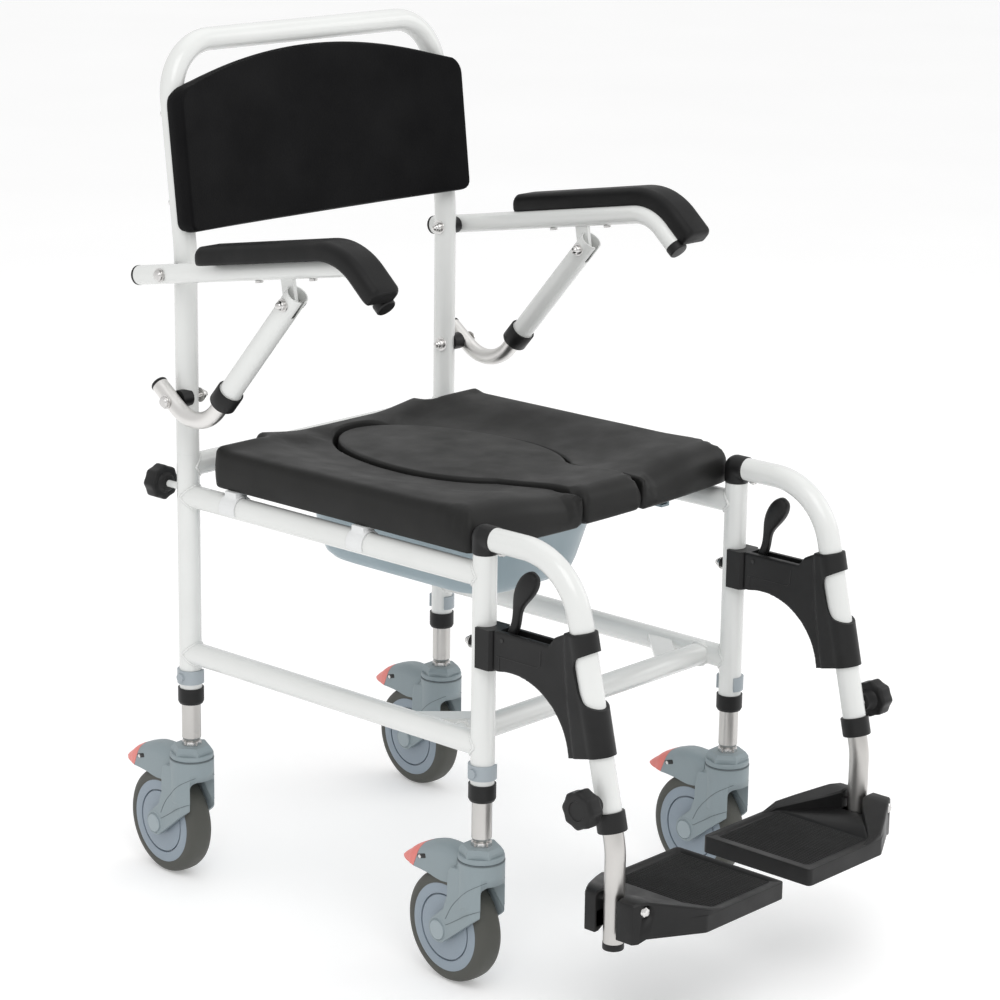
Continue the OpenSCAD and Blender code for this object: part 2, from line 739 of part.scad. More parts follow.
// The strut's line: its angle above level, so that it passes at strut_offset from the lower pivot.
pivot_gap = strut_top_pivot - strut_bottom_pivot;
strut_angle = round(10 * (atan2(pivot_gap[1], -pivot_gap[0]) + asin(strut_offset / norm(pivot_gap)))) / 10;

// Draws along +Z from the strut's upper pin down to its lower end.
module along_strut(s)
  chair() translate([s * strut_x, strut_top_pivot[0], strut_top_pivot[1]])
    rotate([-90 - strut_angle, 0, 0]) children();

module strut_sleeve(s) color([0.93, 0.93, 0.93]) along_strut(s) {
  difference() {
    translate([0, 0, -sleeve_past_pin]) cylinder(h = sleeve_len + sleeve_past_pin, r = sleeve_r);
    translate([0, 0, -sleeve_past_pin - 1]) cylinder(h = 200, r = sleeve_bore_r);
    bar_x(-20, 20, 0, 0, bolt_hole_r);
    slot_half = tab_t / 2 + 0.5;
    translate([-slot_half, -30, -sleeve_past_pin - 1]) cube([2 * slot_half, 60, sleeve_past_pin + tab_r + 3]);
  }
  difference() {
    translate([0, 0, sleeve_len - 2]) cylinder(h = strut_collar_len, r = strut_collar_r);
    translate([0, 0, sleeve_len - 3]) cylinder(h = 3.05, r = sleeve_r + 0.05);
    translate([0, 0, sleeve_len - 3]) cylinder(h = 40, r = sleeve_bore_r);
  }
}

// The lower strut tube: a straight run inside the sleeve, a bend and a tail past the pivot.
module strut_tube(s) color([0.78, 0.79, 0.8]) chair() {
  up = [-cos(strut_angle), sin(strut_angle)];
  up_normal = [sin(strut_angle), cos(strut_angle)];
  tail = [cos(strut_tail_angle), sin(strut_tail_angle)];
  tail_normal = [-sin(strut_tail_angle), cos(strut_tail_angle)];
  centre = meet(tail_normal, strut_bottom_pivot * tail_normal + strut_bend_r,
                up_normal, strut_top_pivot * up_normal + strut_bend_r);
  tail_start = centre - strut_bend_r * tail_normal;
  up_start = centre - strut_bend_r * up_normal;
  tail_end = strut_bottom_pivot + strut_tail * tail;
  up_end = strut_top_pivot - 25 * up;
  x = s * strut_x;
  difference() {
    upright(x, centre, -90 - strut_angle)
      bent_bar(strut_tube_r, strut_bend_r, strut_angle + strut_tail_angle,
               norm(up_end - up_start), norm(tail_end - tail_start));
    bar_x(x - 20, x + 20, strut_bottom_pivot[0], strut_bottom_pivot[1], bolt_hole_r);
  }
}

// ---------- footrests ----------

// Draws along +Y, away from the front leg's axis and towards the front of the chair.
module footrest(s) chair() translate([s * footrest_x, -hy, 0]) rotate(180) children();

down = [sin(hanger_tilt), -cos(hanger_tilt)];
bend_tangent = hanger_bend_r * tan((90 - hanger_tilt) / 2);
bend_end = [hanger_corner, hanger_z] + bend_tangent * down;
run_end = bend_end + (bend_end[1] - hanger_end_z) / cos(hanger_tilt) * down;

function on_run(z) = bend_end + (bend_end[1] - z) / cos(hanger_tilt) * down;
function yz(p) = [0, p[0], p[1]];

module hanger_tube(s) color("white") footrest(s) {
  stub = 30;
  bend_start = hanger_corner - bend_tangent;
  knob = on_run(foot_knob_z);
  difference() {
    upright(0, [bend_start, hanger_z - hanger_bend_r], hanger_tilt)
      bent_bar(tube_r, hanger_bend_r, 90 - hanger_tilt, norm(run_end - bend_end),
               bend_start - hanger_start, 0);
    rod([0, hanger_start - 1, hanger_z], [0, hanger_start + stub + 1, hanger_z], leg_bore_r);
    rod(yz(run_end - 130 * down), yz(run_end + down), leg_bore_r);
    rod([0, 22, hanger_z - 20], [0, 22, hanger_z], 2.6);
    bar_x(0, -s * 20, knob[0], knob[1], 4.06);
  }
}

// The plug that turns in the leg's top, its elbow, the lower collar and the tube's screw.
module hanger_elbow(s) color([0.1, 0.1, 0.1]) footrest(s) {
  elbow_r = 13.4;
  translate([0, 0, front_leg_top_z - 40]) cylinder(h = 41, r = extension_r);
  translate([0, 0, front_leg_top_z + 0.3]) cylinder(h = hanger_z - front_leg_top_z - 0.3, r = elbow_r);
  translate([0, 0, hanger_z]) sphere(r = elbow_r);
  rod([0, 0, hanger_z], [0, hanger_start - 0.05, hanger_z], elbow_r);
  rod([0, 0, hanger_z], [0, hanger_start + 30, hanger_z], extension_r);
  translate([0, 22, hanger_z - tube_r - 3]) cylinder(h = 2.9, r = 5);
  translate([0, 22, hanger_z - tube_r - 1]) cylinder(h = 2.9, r = 2.5);
  difference() {
    rod(yz(run_end - 5 * down), yz(run_end + (foot_collar_len - 5) * down), foot_collar_r);
    rod(yz(run_end - 6 * down), yz(run_end + 0.05 * down), tube_r);
    rod(yz(run_end - 6 * down), yz(run_end + 40 * down), leg_bore_r);
  }
}

arch_centre = [50, 290];
arch_r = 80;

// The bracket's outline from the side: an arm, an arched web and the part along the tube.
module bracket_web() {
  sleeve_low = on_run(300);
  ring_high = on_run(428);
  difference() {
    polygon([
      [27.3, catch_z - catch_h / 2], [27.3, catch_z + catch_h / 2], [102, catch_z + catch_h / 2],
      [110, 423], ring_high, sleeve_low, sleeve_low - [30, 6], [50, 290], [27.3, 340]
    ]);
    translate(arch_centre) circle(arch_r);
  }
}

module latch_bracket(s) color([0.1, 0.1, 0.1]) footrest(s) {
  ring_r = 16.3;
  difference() {
    union() {
      side_plate(0, 18) bracket_web();
      side_plate(0, 25) intersection() {
        bracket_web();
        translate([20, 385]) square([82, 40]);
      }
      rod(yz(on_run(412)), yz(on_run(431)), ring_r);
      rod(yz(on_run(301)), yz(on_run(357)), ring_r);
    }
    translate([0, 0, 300]) cylinder(h = 200, r = catch_reach + 0.5);
    rod(yz(bend_end - down), yz(run_end), tube_r + 0.02);
    translate([-7, 29, 390]) cube([14, 68, 40]);
    bar_x(-20, 20, lever_pivot[0], lever_pivot[1], 2.02);
  }
  bar_x(-12.5, 12.5, lever_pivot[0], lever_pivot[1], 2);
}

lever_pivot = [37, 403];
lever_t = 11;

module lever_disc(y, z, r) bar_x(-lever_t / 2, lever_t / 2, y, z, r, $fn = 32);

// A thumb paddle on a narrow neck.
module latch_lever(s) color([0.1, 0.1, 0.1]) footrest(s) difference() {
  union() {
    hull() {
      lever_disc(lever_pivot[0], lever_pivot[1], 6);
      lever_disc(46, 418, 6);
    }
    hull() {
      lever_disc(46, 418, 6);
      lever_disc(48, 440, 5.5);
    }
    hull() {
      lever_disc(48, 440, 5.5);
      lever_disc(55, 456, 9.5);
      lever_disc(68, 471, 9);
    }
  }
  bar_x(-20, 20, lever_pivot[0], lever_pivot[1], 2.06);
}

// The lower tube slides in the hanger, then bends upright to carry the footplate.
module footrest_tube(s) color([0.78, 0.79, 0.8]) footrest(s) {
  corner = on_run(bend_end[1] - (foot_axis_f - bend_end[0]) / tan(hanger_tilt));
  tangent = footrest_bend_r * tan(hanger_tilt / 2);
  slant_end = corner - tangent * down;
  upright_top = corner[1] - tangent;
  difference() {
    upright(0, [foot_axis_f - footrest_bend_r, upright_top], 0)
      bent_bar(footrest_r, footrest_bend_r, hanger_tilt, upright_top - footrest_bottom_z,
               norm(slant_end - run_end) + footrest_insert);
    rod([0, foot_axis_f - 20, plate_pivot_z], [0, foot_axis_f + 20, plate_pivot_z], bolt_hole_r);
  }
  translate([0, foot_axis_f, footrest_bottom_z - 1.5]) cylinder(h = 4, r = footrest_r + 0.1);
}

module footrest_knob(s) color([0.1, 0.1, 0.1]) footrest(s) {
  knob = on_run(foot_knob_z);
  bar_x(-s * (leg_bore_r + 0.1), -s * 20, knob[0], knob[1], 4);
  translate([-s * 17, knob[0], knob[1]]) rotate([0, -s * 90, 0]) {
    cylinder(h = 14, r = 9);
    translate([0, 0, 13]) star_knob(20.5, 20, 7);
  }
}

// One plate with two raised walls that run out to ears in front of and behind the tube.
module footplate(s) color([0.12, 0.12, 0.12]) chair() mirror([s < 0 ? 1 : 0, 0, 0]) {
  bottom_z = footplate_z - footplate_t;
  tube_y = -hy - foot_axis_f;
  ear_in = footrest_r + 0.8;
  ear_out = 36;
  difference() {
    union() {
      translate([0, 0, bottom_z]) linear_extrude(footplate_t) union() {
        polygon(rounded_box(plate_in_x, plate_front_y, plate_out_x, plate_rear_y, plate_corner_r));
        polygon([
          [plate_out_x - 12, plate_rear_y], [plate_out_x - 4, plate_rear_y],
          [ear_x, tube_y + ear_out], [ear_x, tube_y - ear_out],
          [plate_out_x - 4, plate_front_y], [plate_out_x - 12, plate_front_y]
        ]);
      }
      intersection() {
        linear_extrude(300) union() {
          wall_plan(tube_y + ear_in, tube_y + ear_out, plate_rear_y, 1);
          wall_plan(tube_y - ear_in, tube_y - ear_out, plate_front_y, -1);
        }
        translate([0, plate_rear_y + 10, 0]) rotate([90, 0, 0]) linear_extrude(200) polygon([
          [plate_out_x - 22, bottom_z], [plate_out_x - 18, footplate_z], [200, ear_top_z - 2],
          [206, ear_top_z], [ear_x - 5, ear_top_z], [ear_x, ear_top_z - 6],
          [ear_x, bottom_z - 5], [ear_x - 10, bottom_z - 5]
        ]);
      }
    }
    translate([hx - footrest_r - 1.4, tube_y - ear_in, 50]) cube([60, 2 * ear_in, 200]);
    rod([hx, tube_y - 50, plate_pivot_z], [hx, tube_y + 50, plate_pivot_z], bolt_r + 0.02);
  }
  rod([hx, tube_y - ear_out + 6, plate_pivot_z], [hx, tube_y + ear_out - 6, plate_pivot_z], bolt_r);
}

module wall_plan(near_y, far_y, plate_y, dir) {
  wall = 14;
  polygon([
    [plate_out_x - 22, plate_y], [plate_out_x - 4, plate_y], [ear_x, far_y], [ear_x, near_y],
    [194, near_y], [plate_out_x - 4, plate_y - dir * wall * 1.8], [plate_out_x - 22, plate_y - dir * wall]
  ]);
}

// ---------- nodes ----------

frame_legs();
frame_rails();
leg_collars();
height_clips();
latch_catches();
seat_pad();
seat_clips();
pan_rails();
seat_insert();
commode_pan();
backrest_frame();
backrest_pad();
backrest_hardware();
armrest_spacers();
back_knob(right);  // back_knob_right
back_knob(left);  // back_knob_left
armrest_tube(right);  // armrest_tube_right
armrest_tube(left);  // armrest_tube_left
armrest_pad(right);  // armrest_pad_right
armrest_pad(left);  // armrest_pad_left
armrest_hardware(right);  // armrest_hardware_right
armrest_hardware(left);  // armrest_hardware_left
strut_sleeve(right);  // strut_sleeve_right
strut_sleeve(left);  // strut_sleeve_left
strut_tube(right);  // strut_tube_right
strut_tube(left);  // strut_tube_left
hanger_tube(right);  // hanger_tube_right
hanger_tube(left);  // hanger_tube_left
hanger_elbow(right);  // hanger_elbow_right
hanger_elbow(left);  // hanger_elbow_left
latch_bracket(right);  // latch_bracket_right
latch_bracket(left);  // latch_bracket_left
latch_lever(right);  // latch_lever_right
latch_lever(left);  // latch_lever_left
footrest_tube(right);  // footrest_tube_right
footrest_tube(left);  // footrest_tube_left
footrest_knob(right);  // footrest_knob_right
footrest_knob(left);  // footrest_knob_left
footplate(right);  // footplate_right
footplate(left);  // footplate_left
leg_extension(right, front);  // leg_extension_fr
leg_extension(left, front);  // leg_extension_fl
leg_extension(right, rear);  // leg_extension_rr
leg_extension(left, rear);  // leg_extension_rl
caster_fork(right, front);  // caster_fork_fr
caster_fork(left, front);  // caster_fork_fl
caster_fork(right, rear);  // caster_fork_rr
caster_fork(left, rear);  // caster_fork_rl
caster_wheel(right, front);  // caster_wheel_fr
caster_wheel(left, front);  // caster_wheel_fl
caster_wheel(right, rear);  // caster_wheel_rr
caster_wheel(left, rear);  // caster_wheel_rl
caster_tyre(right, front);  // caster_tyre_fr
caster_tyre(left, front);  // caster_tyre_fl
caster_tyre(right, rear);  // caster_tyre_rr
caster_tyre(left, rear);  // caster_tyre_rl
caster_brake(right, front);  // caster_brake_fr
caster_brake(left, front);  // caster_brake_fl
caster_brake(right, rear);  // caster_brake_rr
caster_brake(left, rear);  // caster_brake_rl
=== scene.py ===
import math
import bmesh
import bpy
import numpy as np
from mathutils import Matrix, Vector, geometry, noise


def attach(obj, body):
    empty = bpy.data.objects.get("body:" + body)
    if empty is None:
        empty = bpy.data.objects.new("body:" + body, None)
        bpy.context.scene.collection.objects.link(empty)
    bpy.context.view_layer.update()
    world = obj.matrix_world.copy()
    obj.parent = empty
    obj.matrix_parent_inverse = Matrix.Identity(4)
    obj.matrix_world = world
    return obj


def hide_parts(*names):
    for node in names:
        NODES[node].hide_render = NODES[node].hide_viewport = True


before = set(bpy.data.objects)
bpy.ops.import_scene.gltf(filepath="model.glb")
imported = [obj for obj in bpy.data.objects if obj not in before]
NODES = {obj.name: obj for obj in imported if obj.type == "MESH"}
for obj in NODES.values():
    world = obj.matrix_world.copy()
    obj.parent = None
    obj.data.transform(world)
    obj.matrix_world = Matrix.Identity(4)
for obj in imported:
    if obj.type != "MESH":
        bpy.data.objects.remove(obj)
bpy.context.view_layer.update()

MID_Y = 72.5


def at(x, y, z):
    """Takes millimetres from the point on the floor between the legs to the frame's metres."""
    return Vector((x, y + MID_Y, z)) / 1000


# ---------- materials ----------

class Mat:
    """A node-based material with helpers for adding nodes and links."""

    def __init__(self, name):
        self.mat = bpy.data.materials.new(name)
        self.mat.use_nodes = True
        self.nt = self.mat.node_tree
        self.bsdf = self.nt.nodes["Principled BSDF"]
        self.coord = self.add("ShaderNodeTexCoord").outputs["Object"]

    def add(self, kind, **settings):
        n = self.nt.nodes.new(kind)
        for k, v in settings.items():
            if k in n.inputs:
                n.inputs[k].default_value = v
            else:
                setattr(n, k, v)
        return n

    def link(self, a, b):
        self.nt.links.new(a, b)

    def noise(self, scale, detail=4, rough=0.5, stretch=None):
        n = self.add("ShaderNodeTexNoise", Scale=scale, Detail=detail, Roughness=rough)
        src = self.coord
        if stretch:
            m = self.add("ShaderNodeMapping", Scale=stretch)
            self.link(src, m.inputs["Vector"])
            src = m.outputs["Vector"]
        self.link(src, n.inputs["Vector"])
        return n.outputs["Fac"]

    def cells(self, scale):
        n = self.add("ShaderNodeTexVoronoi", Scale=scale)
        n.feature = "SMOOTH_F1"
        self.link(self.coord, n.inputs["Vector"])
        return n.outputs["Distance"]

    def ramp(self, fac, stops):
        r = self.add("ShaderNodeValToRGB")
        el = r.color_ramp.elements
        while len(el) < len(stops):
            el.new(0.5)
        for e, (p, c) in zip(el, stops):
            e.position = p
            e.color = (*c, 1) if hasattr(c, "__len__") else (c, c, c, 1)
        self.link(fac, r.inputs["Fac"])
        return r.outputs["Color"]

    def bump(self, height, strength, distance, under=None):
        b = self.add("ShaderNodeBump", Strength=strength, Distance=distance)
        self.link(height, b.inputs["Height"])
        if under is not None:
            self.link(under, b.inputs["Normal"])
        self.link(b.outputs["Normal"], self.bsdf.inputs["Normal"])
        return b.outputs["Normal"]

    def mottle(self, socket, lo, hi, scale, detail, stretch=None):
        """Varies one of the surface's inputs between two values with noise."""
        value = self.ramp(self.noise(scale, detail, stretch=stretch), [(0.3, lo), (0.7, hi)])
        self.link(value, self.bsdf.inputs[socket])

    def base(self, dark, light, scale):
        self.mottle("Base Color", dark, light, scale, 3)

    def rough(self, lo, hi, scale, stretch=None):
        self.mottle("Roughness", lo, hi, scale, 4, stretch)

    def set(self, **kw):
        for k, v in kw.items():
            self.bsdf.inputs[k.replace("_", " ")].default_value = v
        return self


def enamel():
    m = Mat("white_enamel")
    m.base((0.735, 0.745, 0.73), (0.775, 0.785, 0.77), 9)
    m.rough(0.16, 0.26, 14)
    m.bump(m.noise(420, 2), 0.12, 0.0006)
    return m.set(Coat_Weight=0.35, Coat_Roughness=0.08, Specular_IOR_Level=0.5).mat


def aluminium(name="satin_aluminium", lift=0.0):
    m = Mat(name)
    m.base([c + lift for c in (0.50, 0.49, 0.475)], [c + lift for c in (0.60, 0.585, 0.565)], 10)
    m.rough(0.28, 0.42, 30, stretch=(1, 1, 0.15))
    m.bump(m.noise(500, 3, stretch=(1, 1, 0.1)), 0.1, 0.0005)
    return m.set(Metallic=1.0).mat


def steel():
    m = Mat("bright_steel")
    m.base((0.58, 0.57, 0.56), (0.74, 0.73, 0.72), 60)
    m.rough(0.14, 0.3, 90)
    m.bump(m.noise(700, 3), 0.1, 0.0004)
    return m.set(Metallic=1.0).mat


def plastic(name, dark, light, lo=0.38, hi=0.5, grain=900, depth=0.15, spec=0.5):
    m = Mat(name)
    m.base(dark, light, 18)
    m.rough(lo, hi, 40)
    m.bump(m.noise(grain, 4, 0.6), depth, 0.0006)
    return m.set(Specular_IOR_Level=spec).mat


def vinyl(name, dark, light, lo, hi, grain, depth, spec):
    m = Mat(name)
    m.base(dark, light, 14)
    m.rough(lo, hi, 25)
    fine = m.bump(m.noise(grain * 2.6, 3), depth * 0.5, 0.0004)
    m.bump(m.cells(grain), depth, 0.0006, fine)
    return m.set(Specular_IOR_Level=spec).mat


M = {
    "enamel": enamel(),
    "alu": aluminium(),
    "silver": aluminium("bright_aluminium", 0.2),
    "steel": steel(),
    "black": plastic("black_plastic", (0.007, 0.007, 0.0072), (0.012, 0.012, 0.0122),
                     0.36, 0.5, 900, 0.15, 0.3),
    "grip": plastic("grip_plastic", (0.011, 0.011, 0.011), (0.016, 0.016, 0.016),
                    0.5, 0.62, 900, 0.15, 0.4),
    "grey": plastic("grey_plastic", (0.235, 0.285, 0.305), (0.27, 0.32, 0.34), 0.42, 0.55, 1100, 0.12),
    "rim": plastic("rim_plastic", (0.235, 0.285, 0.335), (0.265, 0.315, 0.365), 0.3, 0.42, 800, 0.08),
    "tyre": plastic("tyre_rubber", (0.055, 0.056, 0.048), (0.075, 0.076, 0.066), 0.5, 0.68, 700, 0.3),
    "coral": plastic("coral_plastic", (0.72, 0.17, 0.14), (0.80, 0.21, 0.18), 0.35, 0.45),
    "pan": plastic("pan_plastic", (0.30, 0.38, 0.42), (0.34, 0.42, 0.46), 0.3, 0.42, 600, 0.06),
    "crease": plastic("crease_shadow", (0.10, 0.125, 0.135), (0.13, 0.155, 0.165), 0.5, 0.6),
    "grey_light": plastic("cap_plastic", (0.30, 0.355, 0.38), (0.34, 0.395, 0.42), 0.4, 0.5),
    "dark": plastic("slot_shadow", (0.02, 0.02, 0.02), (0.03, 0.03, 0.03), 0.6, 0.7),
    "clip": plastic("clip_plastic", (0.32, 0.365, 0.395), (0.37, 0.41, 0.44), 0.35, 0.45),
    "white_clip": plastic("white_plastic", (0.74, 0.75, 0.75), (0.8, 0.81, 0.81), 0.35, 0.5),
    "seat": vinyl("seat_vinyl", (0.0088, 0.0088, 0.0084), (0.0118, 0.0118, 0.0112),
                  0.44, 0.56, 900, 0.12, 0.26),
    "back": vinyl("back_vinyl", (0.0035, 0.0035, 0.004), (0.007, 0.007, 0.0075),
                  0.46, 0.58, 420, 0.3, 0.06),
    "foam": plastic("armrest_skin", (0.004, 0.004, 0.0042), (0.008, 0.008, 0.0082),
                    0.46, 0.58, 1300, 0.2, 0.24),
}

CAD_LOOK = [
    (("frame_legs", "frame_rails", "backrest_frame", "armrest_tube", "hanger_tube", "strut_sleeve"),
     "enamel"),
    (("leg_extension", "footrest_tube"), "alu"),
    (("strut_tube",), "silver"),
    (("backrest_hardware", "armrest_hardware"), "steel"),
    (("caster_fork", "caster_brake"), "grey"),
    (("commode_pan", "pan_rails"), "pan"),
    (("caster_wheel",), "rim"),
    (("caster_tyre",), "tyre"),
    (("seat_pad", "seat_insert"), "seat"),
    (("backrest_pad",), "back"),
    (("armrest_pad",), "foam"),
    (("height_clips",), "clip"),
    (("seat_clips",), "white_clip"),
]
for name, node in NODES.items():
    look = next((m for starts, m in CAD_LOOK if name.startswith(starts)), "black")
    node.data.materials.clear()
    node.data.materials.append(M[look])
    for poly in node.data.polygons:
        poly.use_smooth = True

# ---------- mesh helpers, in millimetres ----------

def add_object(name, data):
    o = bpy.data.objects.new(name, data)
    bpy.context.scene.collection.objects.link(o)
    return o


def mesh_object(name, verts, faces, mat, smooth=True):
    me = bpy.data.meshes.new(name)
    me.from_pydata([tuple(v) for v in verts], [], [tuple(f) for f in faces])
    o = add_object(name, me)
    me.materials.append(M[mat])
    bm = bmesh.new()
    bm.from_mesh(me)
    bmesh.ops.recalc_face_normals(bm, faces=bm.faces)
    bm.to_mesh(me)
    bm.free()
    for p in me.polygons:
        p.use_smooth = smooth
    return o


def join_shapes(shapes):
    verts, faces = [], []
    for v, f in shapes:
        base = len(verts)
        verts += list(v)
        faces += [tuple(i + base for i in face) for face in f]
    return verts, faces


def rows_to_faces(rows, n, closed=False):
    """Quads between rows of n points; closed joins the last row to the first, or both ends are capped."""
    faces = []
    for i in range(rows if closed else rows - 1):
        j = (i + 1) % rows
        faces += [(i * n + k, i * n + (k + 1) % n, j * n + (k + 1) % n, j * n + k) for k in range(n)]
    if not closed:
        faces.append(tuple(range(n - 1, -1, -1)))
        faces.append(tuple((rows - 1) * n + k for k in range(n)))
    return faces


def loft(rings):
    """A closed skin through rings that all have the same number of points."""
    return [p for ring in rings for p in ring], rows_to_faces(len(rings), len(rings[0]))


def prism(outline, lo, hi, axis="x"):
    """Pushes a closed outline along x, y or z; its points give the other two axes in order."""
    def put(p, d):
        a, b = p
        return {"x": (d, a, b), "y": (a, d, b), "z": (a, b, d)}[axis]
    n = len(outline)
    verts = [put(p, lo) for p in outline] + [put(p, hi) for p in outline]
    faces = [tuple(range(n)), tuple(range(2 * n - 1, n - 1, -1))]
    faces += [(i, (i + 1) % n, n + (i + 1) % n, n + i) for i in range(n)]
    return verts, faces


def frame_along(d):
    d = Vector(d).normalized()
    side = d.cross(Vector((0, 0, 1)))
    if side.length < 1e-4:
        side = Vector((1, 0, 0))
    side.normalize()
    return side, side.cross(d).normalized()


def lathe(profile, origin=(0, 0, 0), axis=(0, 0, 1), steps=48):
    """A closed or capped round shape: the profile is (radius, distance along the axis)."""
    o, d = Vector(origin), Vector(axis).normalized()
    u, v = frame_along(d)
    closed = profile[0] == profile[-1]
    rows = profile[:-1] if closed else profile
    verts = []
    for r, h in rows:
        for k in range(steps):
            a = 2 * math.pi * k / steps
            verts.append(o + d * h + (u * math.cos(a) + v * math.sin(a)) * r)
    return verts, rows_to_faces(len(rows), steps, closed)


def rod(a, b, r, steps=32, edge=0.0):
    a, b = Vector(a), Vector(b)
    h = (b - a).length
    prof = [(r, 0), (r, h)]
    if edge:
        prof = [(r - edge, 0), (r, edge), (r, h - edge), (r - edge, h)]
    return lathe(prof, a, b - a, steps)


def ball(c, r, steps=24):
    angles = [math.pi * i / 12 for i in range(13)]
    prof = [(max(r * math.sin(a), 0.01), -r * math.cos(a)) for a in angles]
    return lathe(prof, c, (0, 0, 1), steps)


def block(lo, hi):
    x0, y0, z0 = lo
    x1, y1, z1 = hi
    return prism([(x0, y0), (x1, y0), (x1, y1), (x0, y1)], z0, z1, "z")


def sweep(path, r, steps=20, ring=None, closed=False):
    """A tube along a path of points; ring(i) may give its own radius at each point."""
    pts = [Vector(p) for p in path]
    n = len(pts)
    verts = []
    side = None
    for i, p in enumerate(pts):
        if closed:
            d = (pts[(i + 1) % n] - pts[i - 1]).normalized()
        else:
            d = (pts[min(i + 1, n - 1)] - pts[max(i - 1, 0)]).normalized()
        if side is None:
            side, up = frame_along(d)
        side = (side - d * side.dot(d)).normalized()
        up = side.cross(d)
        rr = ring(i) if ring else r
        for k in range(steps):
            a = 2 * math.pi * k / steps
            verts.append(p + (side * math.cos(a) + up * math.sin(a)) * rr)
    return verts, rows_to_faces(n, steps, closed)


def arc(c, r, a0, a1, n):
    return [(c[0] + r * math.cos(math.radians(a0 + (a1 - a0) * i / n)),
             c[1] + r * math.sin(math.radians(a0 + (a1 - a0) * i / n))) for i in range(n + 1)]


def rounded(points, radii, n=5):
    """Rounds the corners of a closed outline; radii is one number or one per point."""
    out = []
    k = len(points)
    for i, p in enumerate(points):
        r = radii if not hasattr(radii, "__len__") else radii[i]
        p = Vector(p)
        a, b = Vector(points[i - 1]) - p, Vector(points[(i + 1) % k]) - p
        if r <= 0:
            out.append(tuple(p))
            continue
        half = a.angle(b) / 2
        cut = min(r / max(math.tan(half), 1e-3), a.length * 0.49, b.length * 0.49)
        s, e = p + a.normalized() * cut, p + b.normalized() * cut
        for j in range(n + 1):
            t = j / n
            out.append(tuple(s * (1 - t) ** 2 + p * 2 * t * (1 - t) + e * t * t))
    return out


def spline(points, n=8, closed=False):
    """A smooth curve through points of any dimension."""
    p = [np.array(q, float) for q in points]
    k = len(p)
    out = []
    for i in range(k if closed else k - 1):
        p0 = p[(i - 1) % k] if closed or i else p[0]
        p1, p2 = p[i], p[(i + 1) % k]
        p3 = p[(i + 2) % k] if closed or i + 2 < k else p[-1]
        for j in range(n):
            t = j / n
            out.append(0.5 * (2 * p1 + (p2 - p0) * t + (2 * p0 - 5 * p1 + 4 * p2 - p3) * t * t
                              + (3 * p1 - p0 - 3 * p2 + p3) * t ** 3))
    if not closed:
        out.append(p[-1])
    return [tuple(q) for q in out]


def apply_modifiers(o):
    dg = bpy.context.evaluated_depsgraph_get()
    me = bpy.data.meshes.new_from_object(o.evaluated_get(dg))
    o.modifiers.clear()
    old = o.data
    o.data = me
    bpy.data.meshes.remove(old)
    return o


def fuse(o, voxel, smooth=2, factor=0.5, keep=None):
    """Melts overlapping shapes into one moulded skin with softened edges."""
    m = o.modifiers.new("melt", "REMESH")
    m.mode = "VOXEL"
    m.voxel_size = voxel
    m.use_smooth_shade = True
    if smooth:
        s = o.modifiers.new("soften", "SMOOTH")
        s.iterations = smooth
        s.factor = factor
    if keep:
        o.modifiers.new("thin", "DECIMATE").ratio = keep
    return apply_modifiers(o)


def thin(o, ratio):
    o.modifiers.new("thin", "DECIMATE").ratio = ratio
    return apply_modifiers(o)


def carve(o, shapes):
    """Takes closed shapes away from an object."""
    for v, f in shapes:
        tool = mesh_object("tool", v, f, "black")
        b = o.modifiers.new("cut", "BOOLEAN")
        b.operation = "DIFFERENCE"
        b.solver = "EXACT"
        b.object = tool
        apply_modifiers(o)
        me = tool.data
        bpy.data.objects.remove(tool)
        bpy.data.meshes.remove(me)
    return o


def bevel(o, width, segments=2, angle=35):
    b = o.modifiers.new("edge", "BEVEL")
    b.width = width
    b.segments = segments
    b.limit_method = "ANGLE"
    b.angle_limit = math.radians(angle)
    b.harden_normals = True
    return apply_modifiers(o)


def soft_shade(o, angle=35):
    bm = bmesh.new()
    bm.from_mesh(o.data)
    lim = math.radians(angle)
    for e in bm.edges:
        if len(e.link_faces) == 2:
            e.smooth = e.calc_face_angle(0) < lim
    bm.to_mesh(o.data)
    bm.free()
    return o


SCALE = Matrix.Scale(0.001, 4)


def legs_frame(s=1):
    """Maps millimetres from between the legs to the frame's metres; s = -1 mirrors to the right."""
    return Matrix.Translation((0, MID_Y / 1000, 0)) @ SCALE @ Matrix.Diagonal((s, 1, 1, 1))


def settle(o, matrix):
    """Writes a matrix into the mesh, keeping its faces outward when the matrix mirrors."""
    o.data.transform(matrix)
    if matrix.determinant() < 0:
        o.data.flip_normals()
    return o


def finish_piece(o, body, nodes=(), slot=None):
    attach(o, body)
    if nodes:
        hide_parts(*nodes)
    return o

# ---------- padded pieces ----------

def edge_samples(loop, step):
    """Even points along a closed outline, with normals pointing inside it."""
    p = np.array([list(q) for q in loop], float)
    seg = np.roll(p, -1, 0) - p
    length = np.hypot(*seg.T)
    total = length.sum()
    s = np.concatenate([[0], np.cumsum(length)])
    t = np.arange(int(total / step)) * total / int(total / step)
    i = np.clip(np.searchsorted(s, t, "right") - 1, 0, len(p) - 1)
    pts = p[i] + seg[i] * ((t - s[i]) / length[i])[:, None]
    tangent = np.roll(pts, -1, 0) - np.roll(pts, 1, 0)
    tangent /= np.hypot(*tangent.T)[:, None]
    area2 = (p[:, 0] * np.roll(p[:, 1], -1) - np.roll(p[:, 0], -1) * p[:, 1]).sum()
    inward = np.stack([-tangent[:, 1], tangent[:, 0]], 1) * (1 if area2 > 0 else -1)
    return pts, inward


